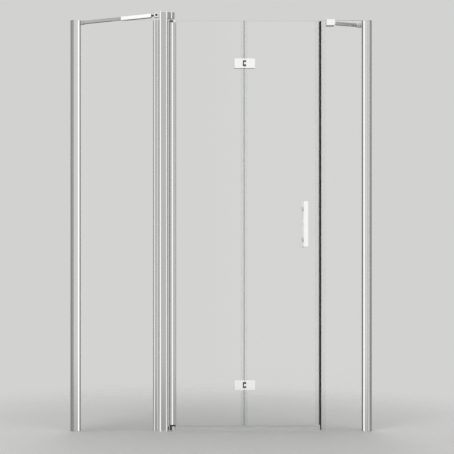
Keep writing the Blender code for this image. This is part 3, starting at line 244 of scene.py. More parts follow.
def turned(profile, radii, place=UPRIGHT, count=64, steps=5):
    """A profile of (radius, height) turned about Z.

    The two parameters are the way along the profile and the turn.  A profile that starts
    and ends on the axis runs outwards, up and back, and closes in two poles; any other is
    a ring, counter-clockwise.
    """
    line, outward = rounded(profile, radii, steps)
    poles = line[:, 0] < 1e-9
    points, normals = [around(values[~poles], count).reshape(-1, 3)
                       for values in (line, outward)]
    faces = strip_faces(len(points) // count, count, closed=not poles.any())
    if poles.any():
        column = np.arange(count)
        after = (column + 1) % count
        low, last = len(points), len(points) - count
        low_pole, high_pole = line[poles][[0, -1], 1]
        points = np.concatenate([points, [(0, 0, low_pole), (0, 0, high_pole)]])
        normals = np.concatenate([normals, [(0, 0, -1), (0, 0, 1)]])
        faces += np.stack([np.full(count, low), after, column], 1).tolist()
        faces += np.stack([last + column, last + after, np.full(count, low + 1)], 1).tolist()
    return placed((points, normals, faces), place)


def block(low, high, corner, edge=0.0003, place=UPRIGHT, steps=5):
    """A block between two corners with rounded uprights and rounded rims.

    The rim stays narrower than the uprights' radius, so that no two of its points meet.
    """
    section = rounded(rectangle(low[0], high[0], low[1], high[1]), corner, steps)
    return prism([section], low[2], high[2], min(edge, 0.95 * corner), place)


def plug(radius, low, high, edge, place, count=64):
    """A solid cylinder about Z between two heights, with rounded rims."""
    return turned([(0, low), (radius, low), (radius, high), (0, high)], [0, edge, edge, 0],
                  place, count)


def socket_screw(radius, height, place):
    """A screw head with a hexagon socket: a round rim with a six-sided hole, and its floor."""
    rim = prism([circle(radius, 32),
                 rounded(arc(0, 0, 0.55 * radius, 360, 60, 6), 0.05 * radius, 2)],
                0, height, 0.12 * radius, place, 3)
    floor = prism([rounded(arc(0, 0, 0.6 * radius, 0, 300, 6), 0.02 * radius, 2)],
                  0, 0.35 * height, 0.015 * radius, place, 1)
    return [rim, floor]


def add_node(tree, kind, settings=None, links=None):
    """Add a node, set its attributes or inputs, and link its inputs to sockets or nodes."""
    node = tree.nodes.new(kind)
    for name, value in (settings or {}).items():
        if isinstance(name, int) or name in node.inputs:
            node.inputs[name].default_value = value
        else:
            setattr(node, name, value)
    for name, source in (links or {}).items():
        if isinstance(source, bpy.types.Node):
            source = source.outputs[0]
        tree.links.new(source, node.inputs[name])
    return node


def material(name, colour, surface, *patterns):
    """A Principled surface with the marks that the making of the real one leaves.

    A pattern is noise on the object's own coordinates: marks per metre along X, Y and Z,
    detail, harshness, the two values of roughness that its middle part is spread between,
    and its relief in metres.  Either of the last two may be None.
    """
    made = bpy.data.materials.new(name)
    made.use_nodes = True
    tree = made.node_tree
    shader = tree.nodes["Principled BSDF"]
    for socket, value in {"Base Color": (*colour, 1), **surface}.items():
        shader.inputs[socket].default_value = value
    place = add_node(tree, "ShaderNodeTexCoord").outputs["Object"]
    for marks, detail, harshness, gloss, relief in patterns:
        stretched = add_node(tree, "ShaderNodeMapping", {"Scale": marks}, {"Vector": place})
        noise = add_node(tree, "ShaderNodeTexNoise", {
            "Scale": 1.0, "Detail": detail, "Roughness": harshness}, {"Vector": stretched})
        if gloss:
            spread = add_node(tree, "ShaderNodeMapRange", {
                "From Min": 0.3, "From Max": 0.7, "To Min": gloss[0], "To Max": gloss[1]},
                {"Value": noise})
            tree.links.new(spread.outputs[0], shader.inputs["Roughness"])
        if relief:
            bump = add_node(tree, "ShaderNodeBump", {"Strength": 1.0, "Distance": relief},
                            {"Height": noise})
            tree.links.new(bump.outputs[0], shader.inputs["Normal"])
    return made


# Extruded aluminium, chemically brightened and anodised.  The die leaves fine lines along the
# length, 0.7 mm apart here so that they show; across them the gloss is a little broken, so
# highlights are softer than on plated parts.
BRIGHT_ANODISED = ({"Metallic": 1.0, "Roughness": 0.10},
                   ((1400, 1400, 1.2), 2.0, 0.6, (0.07, 0.13), 0.000003))
# Injection-moulded nylon of bushes and washers, and of the grey and black pieces that paint
# shade in the hinges, pivot and post joint: satin, a 1 mm orange skin.
MOULDED_NYLON = ({"Roughness": 0.5, "IOR": 1.53},
                 ((900, 900, 900), 2.0, 0.5, (0.42, 0.60), 0.00001))
# Each finish: its material's name, its colour as a hex code or the setting that holds it, the
# shader's values, and its patterns.
FINISHES = {
    # Decorative chrome plated over polished brass and zinc castings: near-mirror, faintly
    # cool, with a soft orange-peel of about 6 mm left by the mop and a haze that wanders
    # between a roughness of 0.04 and 0.09.
    "chrome": ("polished_chrome_plate", "#f5f5f4",
               {"Metallic": 1.0, "Roughness": 0.06},
               ((45, 45, 45), 3.0, 0.5, (0.04, 0.09), None),
               ((170, 170, 170), 1.0, 0.5, None, 0.000012)),
    # A chrome look on the wall profiles; the post and the left bar take the same anodised gloss
    # with darker colours painted in, painted shade for the darker reflections their faces show.
    "profile": ("bright_anodised_aluminium", "#d4d4d3", *BRIGHT_ANODISED),
    "post": ("satin_anodised_aluminium", "#c3c3c2", *BRIGHT_ANODISED),
    "bar": ("steel_toned_aluminium", "#a9a9a8", *BRIGHT_ANODISED),
    # The wall channels: extruded aluminium left as it comes from the press, with die lines
    # about 1 mm apart, satin and duller than the rest.
    "channel": ("mill_aluminium", "#9a9b9b",
                {"Metallic": 1.0, "Roughness": 0.32},
                ((900, 900, 1.5), 3.0, 0.7, (0.26, 0.40), 0.000006)),
    # Float glass, toughened: clear, slightly green through its edges.  The oven's rollers
    # leave a wave about 250 mm long and some hundredths of a millimetre deep, which only
    # bends the longest reflections.
    "glass": ("toughened_glass", "glass_tint",
              {"Roughness": 0.0, "IOR": 1.52, "Transmission Weight": 1.0},
              ((1.5, 1.5, 4.0), 0.0, 0.5, None, 0.00005)),
    # Extruded soft PVC: water-clear, with faint die lines along its length.
    "seal": ("clear_soft_pvc", "seal_colour",
             {"Roughness": 0.05, "IOR": 1.53, "Transmission Weight": 0.98},
             ((700, 700, 3.0), 2.0, 0.5, (0.03, 0.08), 0.000006)),
    # Extruded thermoplastic rubber: matt mid grey, a fine dry skin of 1 mm mottling.  The same
    # grey also paints shade on the top pivot housing.
    "gasket": ("grey_gasket_rubber", "#969796",
               {"Roughness": 0.62, "IOR": 1.5},
               ((1000, 1000, 250), 2.0, 0.5, (0.52, 0.72), 0.00002)),
    # Rubber filled with ferrite powder: near black, satin, with a 0.8 mm powder grain.
    "magnet": ("ferrite_magnet_strip", "#0f1011",
               {"Roughness": 0.42, "IOR": 1.5},
               ((1250, 1250, 1250), 2.0, 0.5, (0.48, 0.66), 0.00001)),
    "nylon": ("black_nylon", "#1b1c1c", *MOULDED_NYLON),
    "shade_inlay": ("grey_nylon", "#545655", *MOULDED_NYLON),
    # Stainless steel turned on a lathe: rings 0.5 mm apart round the pin, satin bright.
    "stainless": ("turned_stainless", "#c3c4c6",
                  {"Metallic": 1.0, "Roughness": 0.24},
                  ((60, 60, 2000), 2.0, 0.5, (0.18, 0.32), 0.000008)),
}


@functools.cache
def finish_of(finish):
    """The material of a finish, made once."""
    name, tone, *values = FINISHES[finish]
    door = bpy.context.scene.shower_door
    return material(name, linear(tone) if tone[0] == "#" else getattr(door, tone), *values)


def piece(name, shells, finish, body, *nodes):
    """One mesh object of closed shells, with the normals of its formulas, on its body."""
    points, normals, faces, first = [], [], [], 0
    for shell_points, shell_normals, shell_faces in shells:
        points.append(shell_points)
        normals.append(shell_normals)
        faces += [[index + first for index in face] for face in shell_faces]
        first += len(shell_points)
    mesh = bpy.data.meshes.new(name)
    mesh.from_pydata(np.concatenate(points).tolist(), [], faces)
    mesh.shade_smooth()
    mesh.normals_split_custom_set_from_vertices(np.concatenate(normals).tolist())
    mesh.materials.append(finish_of(finish))
    made = bpy.data.objects.new(name, mesh)
    bpy.context.scene.collection.objects.link(made)
    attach(made, body)
    if nodes:
        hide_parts(*nodes)
    return made


def dress(finish, *nodes):
    """Give CAD nodes whose shape is right their real finish."""
    for node in nodes:
        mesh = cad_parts[node].data
        mesh.materials.clear()
        mesh.materials.append(finish_of(finish))


class ShowerDoorSettings(bpy.types.PropertyGroup):
    """Sizes and colours of the door that a user may change."""

    glass_tint: FloatVectorProperty(
        name="Glass tint", description="Colour that the glass gives to what is behind it",
        subtype="COLOR", default=linear("#fdfefd"), min=0.0, max=1.0)
    seal_colour: FloatVectorProperty(
        name="Seal colour", description="Milky tone of the clear seals",
        subtype="COLOR", default=linear("#fafbfb"), min=0.0, max=1.0)
    profile_bow: FloatProperty(
        name="Profile bow", description="How far the wall profile's face stands out",
        default=0.0010, min=0.0, max=0.004, unit="LENGTH")
    plate_edge: FloatProperty(
        name="Plate edge", description="Radius along the edges of the hinge plates",
        default=0.0006, min=0.0002, max=0.002, unit="LENGTH")
    handle_edge: FloatProperty(
        name="Handle edge", description="Radius along the edges of the handle bars",
        default=0.003, min=0.0005, max=0.0045, unit="LENGTH")
    screw_radius: FloatProperty(
        name="Screw radius", description="Radius of the socket screws' heads",
        default=0.003, min=0.001, max=0.006, unit="LENGTH")
    facets: IntProperty(
        name="Facets", description="Facets round each turned piece",
        default=64, min=24, max=128)


class ShowerStageSettings(bpy.types.PropertyGroup):
    """The plain floor, background and light."""

    background: FloatVectorProperty(
        name="Background", description="Pale background behind the glass",
        subtype="COLOR", default=linear("#d2d2d1"), min=0.0, max=1.0)
    floor_colour: FloatVectorProperty(
        name="Floor", description="Pale matt floor",
        subtype="COLOR", default=linear("#d6d6d4"), min=0.0, max=1.0)
    key_power: FloatProperty(
        name="Key lamp", description="Power of the large lamp in front",
        default=55.0, min=0.0, max=400.0, unit="POWER")
    sky_strength: FloatProperty(
        name="Sky strength", description="Even light from all round",
        default=0.62, min=0.0, max=2.0)


class DOOR_OT_wall_profiles(bpy.types.Operator):
    """Adjuster profiles, wall channels, end caps and cover buttons on both walls"""

    bl_idname = "door.wall_profiles"
    bl_label = "Wall Profiles"

    def execute(self, context):
        rise, button = context.scene.shower_door.profile_bow, 0.0055
        # Each side's face: where it starts and ends from the wall, its lip and its slope.
        for side, wall_x, inward, reveal, end, lip, slope in (
                ("left", WALL_LEFT, 1, 0.010, 0.0455, 0.0035, SHOULDER_SLOPE),
                ("right", WALL_RIGHT, -1, 0.013, 0.042, 0.0016, 1.3 * SHOULDER_SLOPE)):
            half, wall = 0.014, 0.0016
            floor = end - SLOT_DEPTH
            inner = half - wall
            step = -half + SHOULDER * slope
            face = bow((reveal, -half), (end - lip - SHOULDER, -half), rise)
            front = np.concatenate([face, [(end - lip, step), (end, step), (end, -SLOT_HALF),
                                           (floor, -SLOT_HALF)]])
            radii = np.zeros(len(front))
            radii[0], radii[-5:] = 0.0003, (0.0008, 0.0008, 0.0010, 0.0003, RIM)
            web = [(reveal, inner), (floor - wall, inner)]
            section = np.concatenate([both_sides(front), both_sides(web)])
            chamber = rectangle(floor, end - wall, step + wall, -SLOT_HALF - wall)[::-1]
            other = [(x, -y) for x, y in chamber][::-1]
            lid = np.concatenate([[(0, -half)], front[:-2]])
            lid_radii = np.concatenate([[0.0007], np.zeros(len(lid) - 1)])
            *loops, lid_loop = [from_wall(rounded(*outline), wall_x, inward) for outline in (
                (section, np.concatenate([both_radii(radii), [0.0003] * 4])),
                (chamber, 0.0004), (other, 0.0004), (both_sides(lid), both_radii(lid_radii)))]
            cap_bottom = PANEL_TOP - 0.002
            piece(f"{side}_adjuster", [prism(loops, 0, cap_bottom - FIT, RIM)], "profile",
                  "frame", f"{side}_adjuster_profile")
            piece(f"{side}_end_cap", [prism([lid_loop], cap_bottom, PANEL_TOP, 0.0006)],
                  "chrome", "frame", f"{side}_profile_cap")
            buttons = [turned([(0, 0), (button, 0), (button, 0.0012), (0, 0.0018)],
                              [0, RIM, 0.0006, 0],
                              at(wall_x + inward * 0.019, half + 0.0008, height, FACE_IN), 40)
                       for height in (0.18, 1.0, 1.82)]
            piece(f"{side}_cover_buttons", buttons, "chrome", "frame")
        dress("channel", "left_wall_profile", "right_wall_profile")
        return {"FINISHED"}


class DOOR_OT_hinge_post(bpy.types.Operator):
    """The hollow post with its cove, cap and foot, and the profile hooked to it"""

    bl_idname = "door.hinge_post"
    bl_label = "Hinge Post"

    def execute(self, context):
        left, right, half = -0.060, -0.0217, 0.018
        socket = 0.0096
        lip = (-socket * math.cos(math.radians(30)), -0.00575)
        cove = bow((right, -half + 0.006), lip, 0.16 * right, 13)
        hollow = arc(0, 0, socket, 210, 150, 11)[1:-1]
        broad = 2 * SHOULDER
        face = [(left, -half + broad * SHOULDER_SLOPE), (left + broad, -half),
                (right - SHOULDER, -half), (right, -half + SHOULDER * SHOULDER_SLOPE)]
        softened = [0.0055, 0.0010, 0.0010, 0.0008]
        front = np.concatenate([face, cove])
        radii = np.zeros(len(front))
        radii[:4], radii[-1] = softened, 0.0003
        winged = rounded(np.concatenate([front, hollow, both_sides(front)[len(front):]]),
                         np.concatenate([radii, np.zeros(len(hollow)), radii[::-1]]))
        plain = rounded(both_sides(face), both_radii(softened))
        wall, spigot_wall, inner_corner = 0.0024, 0.0027, 0.0034
        chamber = rounded(rectangle(left + wall, right - wall, -half + wall,
                                    half - wall)[::-1], inner_corner)
        # The wing with the cove stands only between the two pivot blocks.
        low, wing_low, wing_high, high = 0.0033, PROFILE_LOW, 2.0077, POST_TOP - 0.0028
        shells = [prism([outline, chamber], start, end, RIM) for outline, start, end in (
            (plain, low, wing_low), (winged, wing_low, wing_high), (plain, wing_high, high))]
        piece("post_profile", shells, "post", "frame", "hinge_post")
        for name, node, start, end in (("post_cap", "post_top_cap", high + FIT, POST_TOP),
                                       ("post_base", "post_foot", 0, low - FIT)):
            plate = prism([plain], start, end, 0.0007, rings=4)
            spigot = block((left + spigot_wall, -half + spigot_wall, start or 0.002),
                           (right - spigot_wall, half - spigot_wall, end), inner_corner)
            piece(name, [plate, spigot], "chrome", "frame", node)
        self.edge_profile(left)
        return {"FINISHED"}

    def edge_profile(self, post_left):
        """The profile hooked to the post: a section with a glass slot, a groove and a neck."""
        half, width, shoulder, groove_width, groove_depth = 0.012, 0.0225, 0.0035, 0.010, 0.0015
        neck, neck_half = post_left - FIT, 0.006
        mouth = neck - 0.0022 - width
        back, groove = mouth + width, mouth + 0.005
        drop, sunk = -half + shoulder * SHOULDER_SLOPE, -half + groove_depth
        front = [(mouth + SLOT_DEPTH, -SLOT_HALF), (mouth, -SLOT_HALF), (mouth, drop),
                 (mouth + shoulder, -half), (groove, -half), (groove, sunk),
                 (groove + groove_width, sunk), (groove + groove_width, -half),
                 (back - shoulder, -half), (back, drop), (back, -neck_half),
                 (neck, -neck_half)]
        radii = [0.0003, 0.0004, 0.0008, 0.0006, 0.0005, 0.0003, 0.0003, 0.0005, 0.0006,
                 0.0008, 0.0003, 0.0004]
        section = rounded(both_sides(front), both_radii(radii))
        piece("edge_profile", [prism([section], 0, PANEL_TOP, 0.0003)], "post", "frame",
              "glass_edge_profile")
        # Black strips in the gap between this profile and the post: painted shade, dark where
        # the gap's shadow falls.
        strips = [block((back + 0.0001, low, 0.0004),
                        (post_left - 0.0001, low + 0.005, PANEL_TOP - 0.0004), 0.0003)
                  for low in (-0.0112, 0.0062)]
        piece("post_gap_shade_strips", strips, "nylon", "frame")


def block_section(reach, tongue, step_radius):
    """Plan of a pivot block: an arm from the post, half a boss, a shoulder and a tongue."""
    boss, arm, edge = 0.0115, 0.009, -0.0012
    first = 180 + math.degrees(math.asin(arm / boss))
    last = 270 - math.degrees(math.asin(-edge / boss))
    step = edge + SHOULDER
    front = np.concatenate([[(BLOCK_BACK, -arm)], arc(0, 0, boss, first, last, 17),
                            [(step, -boss + SHOULDER * SHOULDER_SLOPE), (step, -tongue)],
                            arc(reach - tongue, 0, tongue, -86, -8, 9)])
    radii = np.zeros(len(front))
    radii[0], radii[17], radii[18:20] = 0.0006, 0.0004, step_radius
    return rounded(both_sides(front), both_radii(radii))


def cam_ring(inner, outer, foot, floor, climb):
    """A cam's ring: a rounded section carried round the axis, its upper points on a helix.

    In each half-turn the upper points rise evenly by climb over 176 degrees and fall back
    over the last four.  Their normals lean back by the helix's slope at their radius.
    """
    count, last = 192, math.radians(176)
    line, outward = rounded([(inner, foot), (outer, foot), (outer, floor), (inner, floor)],
                            RIM, 3)
    turn = np.linspace(0, 2 * math.pi, count, endpoint=False)
    half = turn % math.pi
    lift = climb * np.minimum(half / last, (math.pi - half) / (math.pi - last))
    slope = (np.roll(lift, -1) - np.roll(lift, 1)) * count / (4 * math.pi)
    upper = line[:, 1:] > (foot + floor) / 2
    points, normals = around(line, count), around(outward, count)
    points[..., 2] += upper * lift
    lean = outward[:, 1:] * upper * slope / line[:, :1]
    normals[..., 0] += lean * np.sin(turn)
    normals[..., 1] -= lean * np.cos(turn)
    normals /= np.linalg.norm(normals, axis=-1, keepdims=True)
    return (points.reshape(-1, 3), normals.reshape(-1, 3),
            strip_faces(len(line), count, closed=True))


class DOOR_OT_pivot(bpy.types.Operator):
    """Pivot profile and its cap, the two blocks, the pins, the bush and the lifting cams"""

    bl_idname = "door.pivot"
    bl_label = "Pivot and Lifting Cams"

    def execute(self, context):
        nose, channel, slot_end, slot_floor = 0.009, 0.0067, 0.0216, 0.008
        bore, cup = 0.0062, 0.0089
        start = math.radians(15)
        facet_end = (nose * math.sin(start)
                     + (nose * math.cos(start) - channel) / SHOULDER_SLOPE)
        outline = np.concatenate([
            [(slot_end, SLOT_HALF), (slot_end, channel), (facet_end, channel)],
            arc(0, 0, nose, 75, 285, 49),
            [(facet_end, -channel), (slot_end, -channel), (slot_end, -SLOT_HALF),
             (slot_floor, -SLOT_HALF), (slot_floor, SLOT_HALF)]])
        radii = np.zeros(len(outline))
        radii[[0, 1, -4, -3, -2, -1]] = 0.0003, 0.0007, 0.0007, 0.0003, RIM, RIM
        radii[[2, -5]] = 0.0010
        piece("turning_profile",
              [prism([rounded(outline, radii), circle(bore, 48, True)], PROFILE_LOW,
                     PROFILE_HIGH, 0.00025)], "post", "hinge_leaf", "pivot_profile")
        left, bearing = 0.0093, PROFILE_HIGH + FIT
        cap_top, collar_top, housing_bottom = 2.0015, 2.0010, 2.008
        piece("turning_profile_cap",
              [block((left, -channel, bearing), (slot_end, channel, cap_top), 0.0013, 0.0012)],
              "chrome", "hinge_leaf", "pivot_profile_cap")
        edge, cup_floor, cup_top, foot_top = 0.00035, 0.006, 0.0225, 0.004
        top = [prism([block_section(0.017, 0.007, 0.0004)], housing_bottom, POST_TOP, edge)]
        piece("top_pivot_housing", top, "post", "frame", "pivot_top_block")
        plan = block_section(0.0205, 0.0098, 0.0)
        foot = rounded(rectangle(BLOCK_BACK, 0.016, -0.013, 0.013), 0.005)
        low = [prism([plan, circle(cup, 40, True)], cup_floor, cup_top, edge),
               prism([plan], 0, cup_floor + RIM),
               prism([foot], 0, foot_top, 0.0008, rings=4)]
        piece("bottom_pivot_housing", low, "post", "frame", "pivot_bottom_block")
        piece("housing_set_screw", socket_screw(
            0.0024, 0.0030, at(0.0152, -0.0072, 0.0128, FACE_OUT)), "stainless", "frame")
        # Grey plates on the top housing's tongue and boss: painted shade that darkens the
        # housing where its chrome shows dark.
        piece("tongue_shade_plate", [block((0.0042, -0.0077, 2.0105), (0.0150, -0.0072, 2.0375),
                                     RIM, 0.0001)], "gasket", "frame")
        shade_front, shade_back = -0.0121, -0.0080
        piece("top_boss_shade_plate", [block((-0.0160, shade_front, 2.0100),
                                       (-0.0014, shade_back, 2.0378), 0.0015, 0.0008)],
              "gasket", "frame")
        # Black plates on the bottom boss, a lighter column left between them: partly a dark
        # moulded insert, partly painted shade where the post shades the boss.
        piece("bottom_boss_insert_and_shade",
              [block((near, shade_front, 0.0045), (far, shade_back, 0.0218), 0.0010, 0.0006)
               for near, far in ((-0.0160, -0.0114), (-0.0086, 0.0034))], "nylon", "frame")
        # A grey collar in the gap under the top housing: partly the bush's collar, partly
        # painted shade that darkens the gap.
        piece("top_bush_collar_and_shade",
              [prism([circle(0.0088, 40), circle(0.0046, 40, True)], bearing, collar_top,
                     0.0008, rings=4)], "shade_inlay", "hinge_leaf")
        # A black plug under the pivot profile: partly its end plug, partly painted shade that
        # darkens the gap above the bottom housing.
        piece("turning_profile_plug_and_shade",
              [block((left, -channel, cup_top + 0.0009),
                     (slot_end, channel, PROFILE_LOW - RIM), 0.001, 0.0008)],
              "nylon", "hinge_leaf")
        piece("fixed_cam", [cam_ring(0.0042, 0.0086, 0.0063, 0.0088, 0.0096)], "nylon",
              "frame", "lift_cam_lower")
        dress("nylon", "lift_cam_upper", "pivot_top_bush")
        dress("chrome", "pivot_top_pin", "pivot_bottom_pin")
        dress("gasket", "pivot_profile_gasket")
        return {"FINISHED"}


class DOOR_OT_glazing(bpy.types.Operator):
    """The four panes and the gaskets that hold them"""

    bl_idname = "door.glazing"
    bl_label = "Glass and Gaskets"

    def execute(self, context):
        dress("glass", "left_fixed_glass", "right_fixed_glass", "hinge_leaf_glass",
              "lead_leaf_glass")
        dress("gasket", "left_glass_gasket", "right_glass_gasket", "glass_edge_gasket")
        return {"FINISHED"}


class DOOR_OT_seals(bpy.types.Operator):
    """Wiper seals under the leaves, grey lips along the fold that partly paint its shadow line,
    and the magnetic closure
    """

    bl_idname = "door.seals"
    bl_label = "Seals and Magnets"

    def execute(self, context):
        clip, fin, lean, half = 0.0033, 0.00045, 0.0035, 0.0045
        top, floor, bottom, neck, tip = 0.026, 0.0157, 0.0145, 0.0144, 0.001
        for leaf in ("hinge_leaf", "lead_leaf"):
            low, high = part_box(f"{leaf}_bottom_seal")
            section = [(-half, top), (-half, bottom), (-fin, neck), (-lean - fin, tip),
                       (-lean + fin, tip), (fin, neck), (half, bottom), (half, top),
                       (clip, top), (clip, floor), (-clip, floor), (-clip, top)]
            radii = [0.0003, 0.0006, 0.0004, 0.0003, 0.0003, 0.0004, 0.0006, 0.0003, 0.0003,
                     RIM, RIM, 0.0003]
            piece(f"{leaf}_wiper", [prism([rounded(section, radii, 4)], low[0], high[0], RIM,
                                          ACROSS)], "seal", leaf, f"{leaf}_bottom_seal")
        dress("seal", "hinge_leaf_edge_seal", "lead_leaf_edge_seal")
        # Grey lips along each leaf's fold edge: partly a soft lip, partly painted shade for the
        # dark gap where the leaves meet.
        for leaf, side in (("hinge_leaf", -1), ("lead_leaf", 1)):
            low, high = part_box(f"{leaf}_edge_seal")
            back = high[0] if side < 0 else low[0]
            near, far = sorted((back, back + side * 0.0012))
            # The lip leaves out the hinges' plates, this far from their middles.
            away = 0.0246
            starts = [low[2]] + [height + away for height in HINGE_HEIGHTS.values()]
            ends = [height - away for height in HINGE_HEIGHTS.values()] + [high[2]]
            lips = [block((near, -0.0056, start), (far, -0.0047, end), 0.0003, RIM)
                    for start, end in zip(starts, ends)]
            piece(f"{leaf}_edge_lip_and_shade", lips, "gasket", leaf)
        cheek, pocket = -0.0052, -0.00405
        for name, side, body, arm in (("lead", -1, "lead_leaf", 0.016),
                                      ("fixed", 1, "frame", 0.019)):
            low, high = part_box(f"{name}_magnet_seal")
            seat = CATCH_X + side * (FIT + 0.0053)
            back = seat + side * 0.0013
            edge = back + side * FIT
            end, hook, shoulder = edge + side * arm, seat - side * 0.0014, edge + side * 0.0008
            front = [(back, -clip), (end, -clip), (end, -half), (shoulder, -half),
                     (seat, cheek), (hook, cheek), (hook, pocket), (seat, pocket)]
            radii = [0.0003, 0.0003, 0.0003, 0.0010, 0.0010, 0.0004, 0.0003, 0.0003]
            section = both_sides(front)
            if side > 0:
                section = section[::-1]
            piece(f"{name}_magnet_holder",
                  [prism([rounded(section, both_radii(radii), 4)], low[2], high[2], RIM)],
                  "seal", body, f"{name}_magnet_seal")
        dress("magnet", "lead_magnet", "fixed_magnet")
        return {"FINISHED"}


# The hinge plates: where they start and end, measured from the fold, and half their height.
PLATE_GAP, PLATE_END, PLATE_HALF = 0.0005, 0.0505, 0.024


def hinge_plate(side, recess):
    """Section of an outer plate seen from outside, with the recess open towards the fold."""
    near, far, end = side * PLATE_GAP, side * PLATE_END, side * recess
    first, low = -side * PLATE_HALF, -side * 0.0142
    corners = [(far, first), (far, -first), (near, -first), (near, -low), (end, -low),
               (end, low), (near, low), (near, first)]
    return rounded(corners, [0.003, 0.003, 0.0007, 0.0007, 0.0005, 0.0005, 0.0007, 0.0007])


class DOOR_OT_fold_hinges(bpy.types.Operator):
    """The two folding hinges: four plates each, with knuckles, pin, screws, grey inlays that are
    painted shade, and black pads that are partly gaskets, partly painted shade
    """

    bl_idname = "door.fold_hinges"
    bl_label = "Folding Hinges"

    def execute(self, context):
        door = context.scene.shower_door
        # An outer plate's back and front, the knuckles' radii, and an inner plate's thickness.
        back, front, bore, barrel, thick = GLASS_HALF + FIT, 0.010, 0.0023, 0.0042, 0.005
        pin_half, pin_radius, pad_half, screw_rise = 0.0131, 0.0020, 0.0234, 0.0145
        for level, height in HINGE_HEIGHTS.items():
            here, facing = at(FOLD_X, 0, height), at(FOLD_X, 0, height, FACE_OUT)
            pin = at(FOLD_X, FOLD_Y, height)
            for letter, side, body, recess, lugs in (
                    ("a", -1, "hinge_leaf", 0.009, ((-0.0134, -0.006), (0.006, 0.0134))),
                    ("b", 1, "lead_leaf", 0.007, ((-0.0055, 0.0055),))):
                near, far = sorted((side * PLATE_GAP, side * (recess + PLATE_GAP)))
                shells = [prism([hinge_plate(side, recess)], back, front, door.plate_edge,
                                facing, 5)]
                # The grey inlay on the recess floor, with plate a's knuckles and web in the same
                # grey, is painted shade: it darkens the recess and the knuckles where their
                # chrome shows dark.
                shade_inlay = [block((near, -0.0147, back), (far, 0.0147, thick), RIM, 0.0001,
                               facing)]
                for low, high in lugs:
                    ends = sorted((side * 0.0028, side * (recess + 0.001)))
                    ring = turned([(bore, low), (barrel, low), (barrel, high), (bore, high)],
                                  [RIM, 0.0004, 0.0004, RIM], pin, door.facets)
                    web = block((ends[0], -0.0096, low + 0.0004),
                                (ends[1], -0.0067, high - 0.0004), RIM, RIM, here)
                    (shade_inlay if side < 0 else shells).extend((web, ring))
                piece(f"{level}_hinge_face_{letter}", shells, "chrome", body,
                      f"{level}_hinge_outer_plate_{letter}")
                piece(f"{level}_hinge_shade_inlay_{letter}", shade_inlay, "shade_inlay", body)
                near, far = sorted((side * PLATE_GAP, side * PLATE_END))
                inner = block((near, -PLATE_HALF, 0.0), (far, PLATE_HALF, thick), 0.003,
                              door.plate_edge, here @ axes((0, back, 0), (1, 0, 0),
                                                           (0, 0, -1), (0, 1, 0)))
                middle = FOLD_X + side * (PLATE_GAP + PLATE_END) / 2
                boss = plug(0.006, -back - 0.001, 0.003, RIM, at(middle, 0, height, FACE_OUT),
                            40)
                piece(f"{level}_hinge_clamp_{letter}", [inner, boss], "chrome", body,
                      f"{level}_hinge_inner_plate_{letter}")
                # Thin black pads on the glass under the plates: partly the clamp's gaskets,
                # partly painted shade that darkens the line under the plates.
                shade_pads = [block((near, low, -pad_half), (far, low + 0.0002, pad_half), 0.00005,
                              0.00004, here, 1) for low in (-0.00325, 0.00305)]
                piece(f"{level}_hinge_shade_pads_{letter}", shade_pads, "nylon", body)
                screws = []
                for rise in (-screw_rise, screw_rise):
                    screws += socket_screw(door.screw_radius, 0.0009, at(
                        middle, back + thick, height + rise, FACE_IN))
                piece(f"{level}_hinge_screws_{letter}", screws, "stainless", body)
            axle = plug(pin_radius, -pin_half, pin_half, 0.0005, pin, 40)
            piece(f"{level}_hinge_axle", [axle], "stainless", "hinge_leaf",
                  f"{level}_hinge_pin")
        return {"FINISHED"}


class DOOR_OT_handle(bpy.types.Operator):
    """Bar handles on both faces, with their collared posts and bushes"""

    bl_idname = "door.handle"
    bl_label = "Handle"

    def execute(self, context):
        door = context.scene.shower_door
        x, middle, edge = CATCH_X - 0.0761, 1.007, door.handle_edge
        radius, neck, end = 0.0115, 0.006, 0.0415
        half_length, half_spacing = 0.112, 0.075
        for name, node, turn, half, seat, near, far in (
                ("outer_handle", "handle_outer", FACE_OUT, 0.0115, 0.0045, -0.048, -0.038),
                ("inner_handle", "handle_inner", FACE_IN, 0.0065, 0.0033, 0.038, 0.048)):
            shells = [block((-half, near, -half_length), (half, far, half_length), edge,
                            edge * 0.98, at(x, 0, middle), 8)]
            collar = seat + 0.003
            for rise in (-half_spacing, half_spacing):
                shells.append(turned(
                    [(0, seat), (radius, seat), (radius, collar), (neck, collar), (neck, end),
                     (0, end)], [0, RIM, 0.0007, 0.0003, 0.0005, 0],
                    at(x, 0, middle, turn) @ at(0, rise, 0), door.facets))
            piece(name, shells, "chrome", "lead_leaf", node)
        dress("nylon", "handle_lower_bush", "handle_upper_bush")
        return {"FINISHED"}


# How far a bar's knuckle stands out from its wall.
KNUCKLE_OUT = 0.026


def bar_place(wall_x, inward, reach, height, target):
    """The place at a bar's wall knuckle with X towards its other end, and that distance."""
    knuckle = np.array((wall_x + inward * KNUCKLE_OUT, reach))
    way = np.array(target) - knuckle
    length = np.linalg.norm(way)
    x, y = way / length
    return axes((*knuckle, height), (x, y, 0), (-y, x, 0), (0, 0, 1)), length


def swivel_tongue(reach, place):
    """A flat eye on a knuckle's pin, and the root that carries it into its sleeve."""
    eye, root, half = 0.0065, 0.0052, 0.003
    return [plug(eye, -half, half, 0.0004, place, 48),
            block((0.0, -root, -half), (reach, root, half), 0.0004, place=place)]


